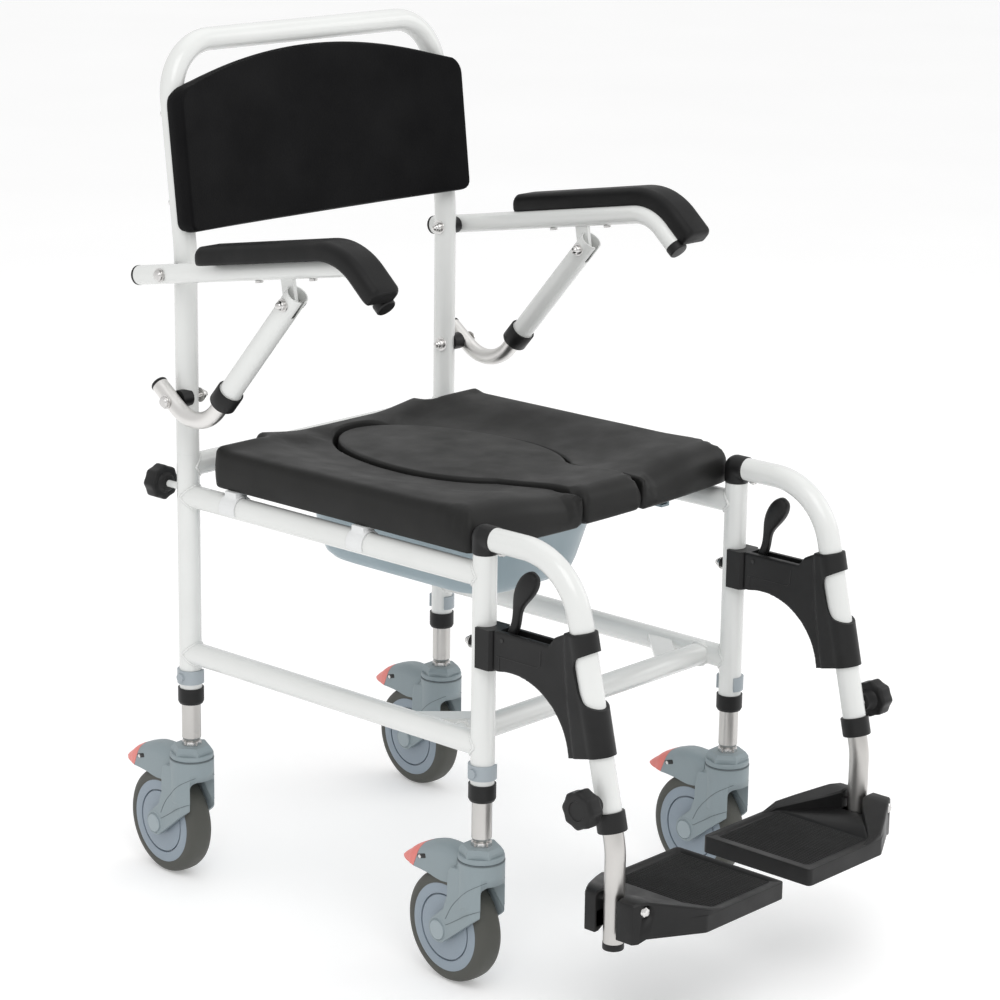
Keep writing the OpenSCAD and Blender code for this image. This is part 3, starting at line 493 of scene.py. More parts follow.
def distance_to(points, loop):
    """Shortest distance from each point to a closed outline."""
    a = np.array([list(q) for q in loop], float)
    b = np.roll(a, -1, 0)
    best = np.full(len(points), 1e9)
    for p, q in zip(a, b):
        d = q - p
        t = np.clip(((points - p) @ d) / max(d @ d, 1e-9), 0, 1)
        best = np.minimum(best, np.hypot(*(points - p - t[:, None] * d).T))
    return best


def inside(points, loop):
    a = np.array([list(q) for q in loop], float)
    b = np.roll(a, -1, 0)
    hit = np.zeros(len(points), bool)
    for p, q in zip(a, b):
        cross = (p[1] > points[:, 1]) != (q[1] > points[:, 1])
        x = p[0] + (points[:, 1] - p[1]) * (q[0] - p[0]) / (q[1] - p[1] + 1e-12)
        hit ^= cross & (points[:, 0] < x)
    return hit


def rolled(d, r):
    d = np.minimum(np.maximum(d, 0), r)
    return r - np.sqrt(np.maximum(r * r - (r - d) ** 2, 0))


def cushion(name, loop, face, back, roll, back_roll, mat, put, grid=7.0, step=4.5):
    """A moulded pad: a flat outline whose face and back are height functions with rolled edges.
    roll gives the edge radius at points of the outline, or is one number; put places (a, b, height)."""
    edge, inward = edge_samples(loop, step)
    edge_roll = roll(edge) if callable(roll) else np.full(len(edge), float(roll))
    rows = [edge]
    for share in (0.04, 0.12, 0.25, 0.42, 0.65, 1.0, 1.5):
        d = edge_roll * share
        q = edge + inward * d[:, None]
        rows.append(q[distance_to(q, edge) > d * 0.93])
    lo, hi = edge.min(0), edge.max(0)
    gx, gy = np.meshgrid(np.arange(lo[0], hi[0], grid), np.arange(lo[1], hi[1], grid))
    g = np.stack([gx.ravel() + 0.37, gy.ravel() + 0.41], 1)
    g = g[inside(g, edge)]
    g = g[distance_to(g, edge) > edge_roll.max() * 1.15]
    rows.append(g)
    pts = np.concatenate(rows)
    n = len(edge)
    sides = [(i, (i + 1) % n) for i in range(n)]
    points, _, cells, origin, _, _ = geometry.delaunay_2d_cdt(
        [Vector(p) for p in pts], sides, [list(range(n))], 1, 1e-4)
    flat = np.array([list(v) for v in points])
    tris = [tuple(f) for f in cells]
    d = distance_to(flat, edge)
    near = np.argmin(((flat[:, None, :] - edge[None, ::3, :]) ** 2).sum(2), 1) * 3
    r = edge_roll[near]
    ring = np.full(n, -1)
    for k, src in enumerate(origin):
        for s in src:
            if s < n:
                ring[s] = k
    top = face(flat) - rolled(d, r)
    low = back(flat) + rolled(d, back_roll)
    verts = [put(*p, h) for p, h in zip(flat, top)] + [put(*p, h) for p, h in zip(flat, low)]
    m = len(flat)
    faces = tris + [tuple(m + i for i in reversed(f)) for f in tris]
    mids = []
    for part in (0.25, 0.5, 0.75):
        base = len(verts)
        bulge = 1.2 * math.sin(math.pi * part)
        for s in range(n):
            k = ring[s]
            h = top[k] * (1 - part) + low[k] * part
            a, b = flat[k] - inward[s] * bulge
            verts.append(put(a, b, h))
        mids.append([base + s for s in range(n)])
    columns = [[ring[s] for s in range(n)]] + mids + [[m + ring[s] for s in range(n)]]
    for a, b in zip(columns, columns[1:]):
        faces += [(a[s], b[s], b[(s + 1) % n], a[(s + 1) % n]) for s in range(n)]
    return mesh_object(name, verts, faces, mat)


def ease(t):
    t = np.clip(t, 0, 1)
    return t * t * (3 - 2 * t)


def level(z):
    """A face at one height."""
    return lambda p: np.full(len(p), z)


def as_drawn(a, b, h):
    return a, b, h


SEAT = {"half": 215.5, "front": -211, "bulge": 13.5, "rear": 205, "notch_x": 134, "notch_y": 182,
        "bottom": 482.0}
INSERT_BOTTOM = 484.0
OVAL = {"rx": 101.0, "rear": 178.0, "front": 139.0, "y": 2.0}
TONGUE = [(56, -114), (53, -198), (50, -226)]


def tongue_edge(gap):
    """The right half of the opening, from its rear down to the front edge, moved in by a gap."""
    stop = math.degrees(math.acos(TONGUE[0][0] / OVAL["rx"]))
    curve = [((OVAL["rx"] - gap) * math.cos(math.radians(a)),
              OVAL["y"] + (OVAL["rear" if a > 0 else "front"] - gap) * math.sin(math.radians(a)))
             for a in np.linspace(90, -stop + 3, 34)]
    top, middle, end = TONGUE
    neck = spline([(top[0] + 1.5 - gap, top[1] - 6), (top[0] - 1.4 - gap, -150),
                   (middle[0] - gap, middle[1]), (end[0] - gap, end[1])], 6)
    return curve + neck


def front_y(x):
    return SEAT["front"] - SEAT["bulge"] * (1 - (x / SEAT["half"]) ** 2)


def seat_top(p):
    x, y = np.abs(p[:, 0]), p[:, 1]
    opening = OVAL["rx"] * np.sqrt(np.maximum(0.28, 1 - ((y - OVAL["y"]) / 200) ** 2))
    side = ease((x - opening) / 108)
    front = ease((-y - 110) / 80)
    rear = ease((y - 158) / 22)
    wave = np.array([noise.noise(Vector((a * 0.012, b * 0.012, 3.1))) for a, b in p])
    lift = 6.0 * front * (1 - 0.6 * side) + 7.5 * rear * (1 - 0.4 * side)
    return 512.2 + 14.0 * side + lift + 0.5 * wave


def seat_pad():
    wide, corner_x = SEAT["half"], SEAT["half"] - 12
    half_edge = tongue_edge(-0.6)
    end_x = half_edge[-1][0]
    front_right = [(x, front_y(x)) for x in np.linspace(end_x + 1, corner_x, 20)]
    corner = rounded([(corner_x, front_y(corner_x)), (wide, SEAT["front"]), (wide, SEAT["front"] + 16)],
                     [0, 13, 0], 6)
    back_edge = rounded([(wide, 0), (wide, SEAT["notch_y"]), (SEAT["notch_x"], SEAT["notch_y"]),
                         (SEAT["notch_x"] - 3, SEAT["rear"]), (0, SEAT["rear"])], [0, 12, 8, 10, 0], 6)
    half = [(end_x, front_y(end_x))] + front_right + corner[1:] + back_edge
    outline = half + [(-x, y) for x, y in reversed(half[:-1])]
    hole = [(-x, y) for x, y in half_edge][:0:-1] + half_edge
    hole = [(x, y) for x, y in hole if y > front_y(x) + 3]
    inner = np.array(hole)

    def roll(e):
        d = np.min(np.hypot(e[:, None, 0] - inner[None, :, 0], e[:, None, 1] - inner[None, :, 1]), 1)
        front = ease((-e[:, 1] - 165) / 40)
        base = 11 + 13 * front
        return np.where(d < 3, 3.2, base * ease(0.35 + (d - 3) / 30))

    pad = cushion("seat_cushion", outline + hole, seat_top, level(SEAT["bottom"]), roll, 5, "seat", as_drawn)
    settle(pad, legs_frame())
    finish_piece(pad, "seat", ["seat_pad"], "seat_vinyl")


def seat_insert():
    close = [(x, y) for x, y in tongue_edge(5.2) if y > front_y(x) + 2]
    tip = close[-1][0]
    run = [(x, front_y(x)) for x in np.linspace(tip - 1, -tip + 1, 14)]
    loop = close + run + [(-x, y) for x, y in reversed(close)][:-1]

    def crown(p):
        r2 = (p[:, 0] / OVAL["rx"]) ** 2 + ((p[:, 1] - OVAL["y"]) / OVAL["rear"]) ** 2
        return 515.2 + 7.0 * ease((-p[:, 1] - 110) / 80) + 1.6 * (1 - np.clip(r2, 0, 1))

    def roll(e):
        return 3.8 + 14 * ease((-e[:, 1] - 200) / 14)

    insert = cushion("seat_insert_cushion", loop, crown, level(INSERT_BOTTOM), roll, 4, "seat", as_drawn)
    settle(insert, legs_frame())
    finish_piece(insert, "insert", ["seat_insert"], "seat_vinyl")


LEAN = math.radians(6.7)
LEANING = Matrix.Translation((0, 228.5, 745)) @ Matrix.Rotation(-LEAN, 4, "X")


def backrest_cushion():
    half, bottom, side_top, top = 223.6, 20, 178, 209.5
    rise, chord = top - side_top, half - 18
    big = (chord * chord + rise * rise) / (2 * rise)
    a = math.degrees(math.asin(chord / big))
    loop = (arc((half - 10, bottom + 10), 10, -90, 0, 5) + arc((half - 22, side_top - 20), 22, 0, 62, 6)
            + arc((0, top - big), big, 90 - a + 1.5, 90 + a - 1.5, 30)
            + arc((-half + 22, side_top - 20), 22, 118, 180, 6)
            + arc((-half + 10, bottom + 10), 10, 180, 270, 5))
    contact = -13.05

    def front(p):
        return -(contact - 19 + 17 * (1 - np.abs(p[:, 0] / half) ** 2.5))

    def rear(p):
        return -(contact + 8 + 2 * ease((182 - np.abs(p[:, 0])) / 110))

    def upright(x, h, y):
        return x, -y, h

    pad = cushion("backrest_cushion", loop, front, rear, 3.4, 3, "back", upright, grid=8.0)
    settle(pad, legs_frame() @ LEANING)
    finish_piece(pad, "backrest", ["backrest_pad"], "back_vinyl")


ARM = {"x": 238.0, "pivot": (227.0, 721.0), "slope": 9.4, "bend": 276.0, "r": 50.0, "turn": 51.4,
       "nose": 25.0, "tube": 11.0, "pad": 19.6, "start": 88.0, "over": 8.0, "width": 42.0}
BEND_LENGTH = math.radians(ARM["turn"]) * ARM["r"]


def arm_frame(s):
    return (legs_frame(s) @ Matrix.Translation((ARM["x"], *ARM["pivot"]))
            @ Matrix.Rotation(math.radians(180), 4, "Z")
            @ Matrix.Rotation(math.radians(ARM["slope"]), 4, "X"))


def arm_path(s, n):
    """A point n above the tube's axis at distance s along it, and the direction of the tube there."""
    if s <= ARM["bend"]:
        return (s, n), (1, 0)
    a = min(s - ARM["bend"], BEND_LENGTH) / ARM["r"]
    y = ARM["bend"] + (ARM["r"] + n) * math.sin(a)
    z = -ARM["r"] + (ARM["r"] + n) * math.cos(a)
    rest = max(s - ARM["bend"] - BEND_LENGTH, 0)
    d = (math.cos(a), -math.sin(a))
    return (y + rest * d[0], z + rest * d[1]), d


def armrest_cushion(side, sign):
    """The moulded skin over the armrest tube, wrapped a little way down both sides of the tube."""
    lo, hi = -(ARM["width"] - 4.5), 4.5
    length = ARM["bend"] + BEND_LENGTH + ARM["nose"] + ARM["over"]
    r = 8.5
    rings = []
    stations = [ARM["start"] + t for t in (0, 0.6, 1.8, 3.6, 6, 9, 13)]
    stations += list(np.linspace(ARM["start"] + 20, ARM["bend"], 16))
    stations += list(np.linspace(ARM["bend"], length - 16, 20)[1:])
    stations += [length - t for t in (12, 9, 6, 3.8, 2, 0.8, 0)]
    for s in stations:
        back, front = s - ARM["start"], length - s
        cut = max(rolled(np.array([back]), 8.0)[0], rolled(np.array([front]), 6.0)[0])
        top = ARM["tube"] + ARM["pad"] - cut
        low = ARM["tube"] + 0.1
        skirt = 3.4 * ease(np.array([back / 12]))[0] * ease(np.array([front / 10]))[0]
        sq = cut * 0.45
        x0, x1 = lo + sq, hi - sq
        quarter = np.linspace(0, math.pi / 2, 7)
        prof = [(x0 + 1.2, low - skirt * 0.2), (x0, low + 2.5)]
        prof += [(x0 + r - r * math.cos(a), top - r + r * math.sin(a)) for a in quarter]
        prof += [(x1 - r + r * math.sin(a), top - r + r * math.cos(a)) for a in quarter]
        prof += [(x1, low + 2.5), (x1 - 1.2, low - skirt * 0.2)]
        ring = []
        for x, h in prof:
            crown = 0
            if h > top - 1:
                crown = 0.7 * math.cos(math.pi * (x - (lo + hi) / 2) / (hi - lo))
            (y, z), _ = arm_path(s, h + crown)
            ring.append((x, y, z))
        rings.append(ring)
    pad = mesh_object("armrest_cushion_" + side, *loft(rings), "foam")
    settle(pad, arm_frame(sign))
    finish_piece(pad, "armrest_" + side, ["armrest_pad_" + side], "armrest_foam")


SIDES = (("right", -1), ("left", 1))
seat_pad()
seat_insert()
backrest_cushion()
for side, sign in SIDES:
    armrest_cushion(side, sign)

# ---------- moulded parts of the footrests ----------

HX, HY = 209.5, 228.5
RUN = {"f": 131.66, "z": 443.55, "tilt": math.radians(13)}
TAN_TILT = math.tan(RUN["tilt"])


def on_run(z):
    """How far the hanger tube's slanted axis lies in front of the leg at height z."""
    return RUN["f"] + (RUN["z"] - z) * TAN_TILT


def hanger_frame(s):
    """Millimetres measured outwards, forwards and up from a front leg's axis on the floor."""
    return legs_frame(s) @ Matrix.Translation((HX, -HY, 0)) @ Matrix.Diagonal((1, -1, 1, 1))


def mirrored_pieces(name, mesh, frame_of, body, node=None, slot=None):
    """Copies a mesh drawn in a side's own frame to both sides of the chair."""
    for side, s in SIDES:
        o = add_object(name + "_" + side, mesh.data.copy())
        settle(o, frame_of(s))
        owner = body if body in ("backrest", "frame") else body + "_" + side
        finish_piece(o, owner, [node + "_" + side] if node else [], slot)
    bpy.data.objects.remove(mesh)


def shapes_object(name, shapes, mat, angle=35):
    v, f = join_shapes(shapes)
    return soft_shade(mesh_object(name, v, f, mat), angle)


def both_sides(name, shapes, mat, frame_of, body, angle=35):
    mirrored_pieces(name, shapes_object(name, shapes, mat, angle), frame_of, body)


def run_rod(z0, z1, r):
    return rod((0, on_run(z0), z0), (0, on_run(z1), z1), r, 64)


def latch_bracket():
    web = ([(24, 368), (24, 410), (26, 411.5), (100, 411.5), (108, 422), (126, 431), (on_run(431), 431)]
           + [(on_run(z), z) for z in (400, 360, 320, 300)] + [(on_run(300) - 30, 294)]
           + arc((50, 290), 80, 4, 104, 22))
    spine = [(on_run(z) - c, z) for z, c in ((431, 12), (400, 17), (360, 22), (330, 24), (294, 26))]
    spine += [(on_run(z), z) for z in (294, 330, 431)]
    shapes = [prism(web, -13.2, 13.2), prism(spine, -15.6, 15.6), run_rod(299, 431, 16.4)]
    o = shapes_object("bracket", shapes, "black")
    fuse(o, 1.5, 3, 0.5)
    window = rounded([(196, 419), (157, 415.5), (138, 406), (136, 396), (143, 372), (150, 361), (171, 355),
                      (196, 352)], [2, 14, 12, 12, 14, 14, 12, 2], 6)
    end_f, end_z = on_run(306), 306
    fall = 60 * TAN_TILT
    low_cut = [(end_f + 60, end_z + fall), (end_f - 60, end_z - fall), (end_f - 60, 230), (end_f + 60, 230)]
    carve(o, [prism(window, -40, 40), prism(low_cut, -40, 40), run_rod(280, 460, 13.25),
              rod((0, 0, 300), (0, 0, 480), 27.6, 64), block((-7, 29, 390), (7, 97, 440))])
    thin(o, 0.5)
    soft_shade(o, 38)
    mirrored_pieces("latch_bracket", o, hanger_frame, "hanger", "latch_bracket", "black_plastic")
    marks = []
    seam = [(30, 385), (86, 385), (89.5, 387.5), (90.5, 391), (90.5, 404)]
    for x in (-13.35, 13.35):
        marks.append(sweep([(x, a, b) for a, b in seam], 0.45, 6))
        marks.append(sweep([(x, 33.5, b) for b in (369, 385)], 0.4, 6))
    marks.append(rod((-14.2, 37, 403), (14.2, 37, 403), 2.2, 20, 0.3))
    both_sides("bracket_marks", marks, "dark", hanger_frame, "hanger")


def latch_lever():
    """A thumb paddle with a rolled rim on a slim neck."""
    stations = [(35, 399, 4.6, 5.2), (38, 406, 5.0, 5.4), (43, 414, 5.4, 5.6), (45.5, 422, 5.0, 5.5),
                (46.5, 430, 4.9, 5.5), (47.5, 438, 5.6, 5.6), (50, 446, 8.2, 7.6), (54, 454, 10.6, 9.0),
                (59, 462, 11.8, 9.6), (64, 469.5, 11.2, 9.2), (68.3, 475.5, 8.2, 7.0),
                (70.4, 478.6, 4.2, 4.0)]
    squareness = 0.7
    path = [Vector((0, a, b)) for a, b, _, _ in stations]
    rings = []
    for i, (_, _, half, thick) in enumerate(stations):
        d = (path[min(i + 1, len(path) - 1)] - path[max(i - 1, 0)]).normalized()
        up = Vector((1, 0, 0)).cross(d)
        ring = []
        for k in range(24):
            a = 2 * math.pi * k / 24
            c, w = math.cos(a), math.sin(a)
            x = thick * 0.86 * math.copysign(abs(c) ** squareness, c)
            y = half * math.copysign(abs(w) ** squareness, w)
            ring.append(path[i] + Vector((1, 0, 0)) * x + up * y)
        rings.append(ring)
    o = mesh_object("lever", *loft(rings), "black")
    o.modifiers.new("round", "SUBSURF").levels = 1
    apply_modifiers(o)
    mirrored_pieces("latch_lever", o, hanger_frame, "latch_lever", "latch_lever", "black_plastic")


FOOT_TUBE_Y = -413.9
PLATE_BOLT_Z = 154.2


def elbow():
    """The plug in the leg's top turns through a rounded elbow into the hanger tube."""
    centre = (0, 0, 504)
    shapes = [lathe([(11, 447), (11, 487), (13.6, 487.2), (14.0, 488), (14.0, 499)]), ball(centre, 14.2, 32),
              rod(centre, (0, 15, 504), 14.0, 48, 0.5), lathe([(14.0, 487.5), (14.0, 504)])]
    o = shapes_object("elbow", shapes, "black")
    fuse(o, 1.3, 2, 0.5, 0.4)
    mirrored_pieces("hanger_elbow", o, hanger_frame, "hanger", "hanger_elbow", "black_plastic")
    down = (0, math.sin(RUN["tilt"]), -math.cos(RUN["tilt"]))
    collar = lathe([(13.12, 0), (15.2, 0.1), (15.8, 0.8), (15.8, 20.2), (15.2, 21), (11.3, 21), (11.3, 12),
                    (13.12, 12), (13.12, 0)], (0, on_run(249.6), 249.6), down, 64)
    both_sides("tube_collar", [collar], "black", hanger_frame, "hanger")
    screw = lathe([(0.3, 2.9), (3.4, 2.6), (4.9, 1.2), (5.0, 0)], (0, 24, 491.3), (0, 0, -1), 24)
    both_sides("elbow_screw", [screw], "steel", hanger_frame, "hanger")
    foot = (0, -FOOT_TUBE_Y - HY, 0)
    cap = [lathe([(11.4, 103.2), (11.4, 109.6), (11.0, 109.9), (10.3, 109.9)], foot, steps=40),
           lathe([(0.5, 102.2), (10.2, 102.2), (11.1, 102.7), (11.4, 103.4)], foot, steps=40)]
    both_sides("tube_foot", cap, "black", hanger_frame, "footrest")


def star_knob(name, place, axis, r, thick, neck, stud):
    """A lobed grip on a round neck, with a steel stud running into the tube."""
    o, d = Vector(place), Vector(axis).normalized()
    u, v = frame_along(d)
    prof = [(0.80, 0.0), (0.92, 0.35), (0.98, 1.4), (1.0, 3.5), (1.0, thick - 4.5), (0.985, thick - 2.2),
            (0.93, thick - 0.7), (0.85, thick - 0.1), (0.72, thick), (0.5, thick + 0.2), (0.47, thick - 0.8),
            (0.02, thick - 0.8)]
    rings = []
    for share, h in prof:
        ring = []
        for k in range(120):
            a = 2 * math.pi * k / 120
            depth = 0.085 * min(1, max(0, (share - 0.5) / 0.3))
            lobe = 1 - depth * (0.5 - 0.5 * math.cos(8 * a)) ** 0.75
            ring.append(o + d * h + (u * math.cos(a) + v * math.sin(a)) * r * share * lobe)
        rings.append(ring)
    hub = lathe([(8.2, -neck), (9.2, -neck + 0.8), (9.2, -3), (12.5, 0.3)], o, d, 40)
    grip = shapes_object(name, [loft(rings), hub], "black", 50)
    mirrored_pieces(name, grip, legs_frame, name, name, "black_plastic")
    both_sides(name + "_stud", [rod(o - d * stud, o - d * 2, 4.0, 24)], "enamel", legs_frame, name)


def footplate():
    tube_y, front, rear, inner_x, out, ear = FOOT_TUBE_Y, -490.0, -344.0, 22.0, 156.0, 223.0
    slot = 13.9
    reach = {1: 28.5, -1: 36.0}
    end = ear - 1.5
    shoulder = out - 4
    edges = {1: rear, -1: front}
    outline = rounded([(inner_x, front), (inner_x, rear), (shoulder, rear), (end, tube_y + reach[1]),
                       (end, tube_y + slot), (197.5, tube_y + slot), (197.5, tube_y - slot),
                       (end, tube_y - slot), (end, tube_y - reach[-1]), (shoulder, front)],
                      [6, 6, 10, 3, 1, 3, 3, 1, 3, 10], 6)
    plate = shapes_object("plate", [prism(outline, 124.2, 143.2, "z")], "black")
    bevel(plate, 1.3, 3, 40)
    border = 10
    left, low, high = inner_x + border, front + border, rear - border
    field = rounded([(left, low), (left, high), (out - 14, high), (out - 14, low)], 7, 6)
    carve(plate, [prism(field, 142.0, 160, "z")])
    mirrored_pieces("footplate", plate, legs_frame, "footplate", "footplate", "black_plastic")
    ribs = []
    x = left + 3
    while x < out - 16:
        run = [(x, front + 13, 141.4), (x, front + 15, 142.0), (x, rear - 15, 142.0), (x, rear - 13, 141.4)]
        ribs.append(sweep(run, 0.95, 8))
        x += 3.7
    y = front + 17
    while y < rear - 15:
        ribs.append(sweep([(left + 2.5, y, 141.6), (out - 16, y, 141.6)], 0.75, 6))
        y += 7.4
    both_sides("footplate_grip", ribs, "grip", legs_frame, "footplate")

    def outer_face(d, x):
        """The slanted outer face of a wall, from the plate's edge out to the ear."""
        return edges[d] + (tube_y + d * reach[d] - edges[d]) * (x - out + 4) / (ear - out + 4)

    tops = ((118, 142.2), (122, 143.0), (130, 145.0), (140, 147.6), (150, 150.2), (170, 155.2), (185, 158.9),
            (200, 162.6), (206, 163.9), (217, 164), (ear - 1.2, 162), (ear, 159))
    walls = []
    for d, edge in edges.items():
        near = tube_y + d * slot
        rings = []
        for x, top in tops:
            outer = edge if x < shoulder else outer_face(d, x)
            inner = np.interp(x, [118, 140, out - 4, 197], [edge - d * 5, edge - d * 10, edge - d * 20, near])
            low = 119.5 if x > 213 else 126
            rings.append([(x, inner, low), (x, outer - d * 0.2, low), (x, outer - d * 0.2, top - 1.6),
                          (x, outer - d * 2, top), (x, inner + d * 2, top), (x, inner, top - 1.6)])
        walls.append(loft(rings))
    wall = shapes_object("wall", walls, "black", 28)
    bevel(wall, 1.0, 2, 45)
    face = {d: outer_face(d, HX) for d in edges}
    carve(wall, [rod((HX, face[d] - d * 3, PLATE_BOLT_Z), (HX, face[d] + d * 30, PLATE_BOLT_Z), 7.4, 32)
                 for d in edges])
    mirrored_pieces("footplate_ears", wall, legs_frame, "footplate")
    head = [(0.3, 4.2), (3.6, 3.9), (5.6, 2.2), (6.0, 0)]
    bolts = [lathe(head, (HX, face[d] - d * 3.1, PLATE_BOLT_Z), (0, d, 0), 24) for d in edges]
    bolts.append(rod((HX, tube_y - 30, PLATE_BOLT_Z), (HX, tube_y + 24, PLATE_BOLT_Z), 3, 20))
    both_sides("footplate_bolt", bolts, "steel", legs_frame, "footplate")


# ---------- pan, clips, welds and fasteners ----------

SEAT_RAIL_Z = 463
LOW_RAIL_Z = 277


def pan():
    """A tapered bucket with a wide flange that hangs on the rails."""
    def loop(z, half, y0, y1, r):
        radii = [r, min(r, 48), min(r, 48), r]
        return [(x, y, z) for x, y in rounded([(half, y0), (half, y1), (-half, y1), (-half, y0)], radii, 10)]

    outside = [(384.0, 58, -84, 118, 40), (382.0, 70, -96, 130, 46), (382.8, 78, -104, 138, 52),
               (386.2, 85, -111, 146, 58), (392.5, 90, -117, 152, 64), (404, 94, -122, 156, 68),
               (430, 98, -131, 160, 72), (455, 101.5, -139, 162, 74), (470.5, 104.5, -146, 163, 72)]
    flange = [(472.2, 109, -156, 166, 56), (472.4, 124, -177, 177, 36), (473.2, 125, -178, 178, 35),
              (475.0, 124.6, -177.6, 177.6, 35), (475.6, 122, -175, 175, 36)]
    within = [(475.2, 103, -144.5, 161.5, 70), (470, 102, -143, 160.5, 70), (455, 99, -136.5, 159.5, 72),
              (430, 95.5, -128.5, 157.5, 70), (404, 91.5, -119.5, 153.5, 66), (393.5, 87, -114, 149, 60),
              (388.4, 80, -106, 141, 54), (386.2, 66, -92, 128, 44)]
    rings = [loop(*q) for q in outside + flange + within]
    o = soft_shade(mesh_object("pan_bucket", *loft(rings), "pan"), 50)
    settle(o, legs_frame())
    finish_piece(o, "pan", ["commode_pan"], "grey_plastic")


def saddle(centre, along, sign, r=13.3, bead=1.5):
    """A weld bead where a tube running along x or y meets a round leg."""
    pts = []
    for k in range(48):
        a = 2 * math.pi * k / 48
        across, z = r * math.cos(a), r * math.sin(a)
        reach = sign * math.sqrt(max(r * r - across * across, 0) + 0.5)
        wob = 0.35 * noise.noise(Vector((k * 0.9, centre[2] * 0.01, centre[0] * 0.01)))
        x, y = (across, reach) if along == "y" else (reach, across)
        pts.append((centre[0] + x, centre[1] + y, centre[2] + z + wob))
    return sweep(pts, bead, 8, lambda i: bead * (1 + 0.22 * math.sin(i * 2.6)), True)


def welds():
    beads = []
    for x in (-HX, HX):
        for z in (SEAT_RAIL_Z, LOW_RAIL_Z):
            beads += [saddle((x, -HY, z), "y", 1), saddle((x, HY, z), "y", -1)]
    for s in (-1, 1):
        beads.append(saddle((s * HX, HY, 497.5), "x", -s))
        beads.append(saddle((s * HX, 38 - HY, LOW_RAIL_Z), "x", -s))
    o = shapes_object("weld_beads", beads, "enamel", 60)
    settle(o, legs_frame())
    finish_piece(o, "frame")


def dome_nut(place, axis, r):
    """A washer under a domed nut, drawn outwards from a surface."""
    return lathe([(r * 1.35, 0), (r * 1.35, 1.1), (r, 1.2), (r, 4.2), (r * 0.86, 5.0), (r * 0.8, 6.4),
                  (r * 0.62, 8.2), (r * 0.3, 9.2), (0.2, 9.4)], place, axis, 32)


def end_plug(place, axis, r, length):
    """A push-in plug: a thin rim proud of the tube's end and a softly domed face."""
    return lathe([(r, -0.5), (r + 0.15, 0.2), (r, length - 1.6), (r * 0.9, length - 0.3), (r * 0.7, length),
                  (0.2, length)], place, axis)


STRUT = {"foot": (222, 578.5), "head": (30, 716), "angle": math.radians(49.3), "tail": math.radians(36.7)}


def strut_trim():
    """The black ring at the lower end of the telescoping sleeve, and the plug in the tube's tail."""
    down = Vector((0, math.cos(STRUT["angle"]), -math.sin(STRUT["angle"])))
    start = Vector((ARM["x"], *STRUT["head"])) + down * 146.4
    ring = lathe([(13.4, 0), (15.2, 0), (15.5, 0.5), (15.5, 20.6), (15.0, 21.4), (11.4, 21.4), (11.4, 19.4),
                  (13.4, 19.4), (13.4, 0)], start, down, 56)
    both_sides("strut_collar", [ring], "black", legs_frame, "strut_sleeve")
    back = Vector((0, math.cos(STRUT["tail"]), math.sin(STRUT["tail"])))
    end = Vector((ARM["x"], *STRUT["foot"])) + back * 25
    both_sides("strut_plug", [end_plug(end, back, 9.7, 3.6)], "black", legs_frame, "strut_tube")


def armrest_trim():
    """Plugs at both ends of the armrest tube and the bolt that carries the strut's head."""
    (y, z), d = arm_path(ARM["bend"] + BEND_LENGTH + ARM["nose"], 0)
    plugs = [end_plug((0, y, z), (0, *d), 11.2, 9.5), end_plug((0, -46.2, 0), (0, -1, 0), 11.1, 4.2)]
    both_sides("armrest_plugs", plugs, "black", arm_frame, "armrest")
    bolt = [dome_nut((ARM["x"] + s * 12.4, *STRUT["head"]), (s, 0, 0), 5.4) for s in (-1, 1)]
    both_sides("strut_head_bolt", bolt, "steel", legs_frame, "armrest")


def frame_nuts():
    """Nuts inside the uprights, bolt heads outside them, and the latch catch's nut on each front leg."""
    head = [(8.0, 0), (8.0, 1.0), (6.4, 1.1), (6.2, 3.4), (4.6, 5.2), (0.3, 5.8)]
    shapes = []
    for (y, z), outer in ((ARM["pivot"], 249.3), (STRUT["foot"], 247.8)):
        shapes.append(dome_nut((HX - 12.4, y, z), (-1, 0, 0), 6.2))
        shapes.append(lathe(head, (outer, y, z), (1, 0, 0), 32))
    both_sides("upright_nuts", shapes, "steel", legs_frame, "backrest")
    both_sides("catch_nut", [dome_nut((HX, 16.4 - HY, 388), (0, 1, 0), 5.2)], "steel", legs_frame, "frame")


def clip_band(x, y):
    """The part of a clip that reaches round a side rail."""
    ends = math.radians(-28), math.radians(208)
    outer = [(x + 15.3 * math.cos(t), SEAT_RAIL_Z + 15.3 * math.sin(t)) for t in np.linspace(*ends, 24)]
    inner = [(x + 13.1 * math.cos(t), SEAT_RAIL_Z + 13.1 * math.sin(t)) for t in np.linspace(*ends[::-1], 24)]
    return prism(outer + inner, y - 12, y + 12, "y")


def seat_clips():
    """Snap clips under the pad that grip the side rails."""
    shapes = []
    for x in (-HX, HX):
        for y in (150, -50):
            shapes.append(clip_band(x, y))
            shapes.append(block((x - 9, y - 9, 475), (x + 9, y + 9, 482.6)))
    o = shapes_object("seat_clip_set", shapes, "white_clip")
    fuse(o, 0.9, 1, 0.4, 0.4)
    settle(o, legs_frame())
    finish_piece(o, "seat", ["seat_clips"], "clip_white")


latch_bracket()
latch_lever()
elbow()
star_knob("back_knob", (HX, 266.5, 470.5), (0, 1, 0), 20.4, 17.5, 5, 26.5)
star_knob("footrest_knob", (239.5, -HY - on_run(261.5), 261.5), (1, 0, 0), 21, 19, 13, 18.5)
footplate()
pan()
welds()
seat_clips()
strut_trim()
armrest_trim()
frame_nuts()

# ---------- casters ----------

YAW = Matrix.Rotation(math.radians(-5), 4, "Z")
LEGS = {"fr": ("front_right", -HX, -HY), "fl": ("front_left", HX, -HY),
        "rr": ("rear_right", -HX, HY), "rl": ("rear_left", HX, HY)}
AXLE = (41, 62.5)


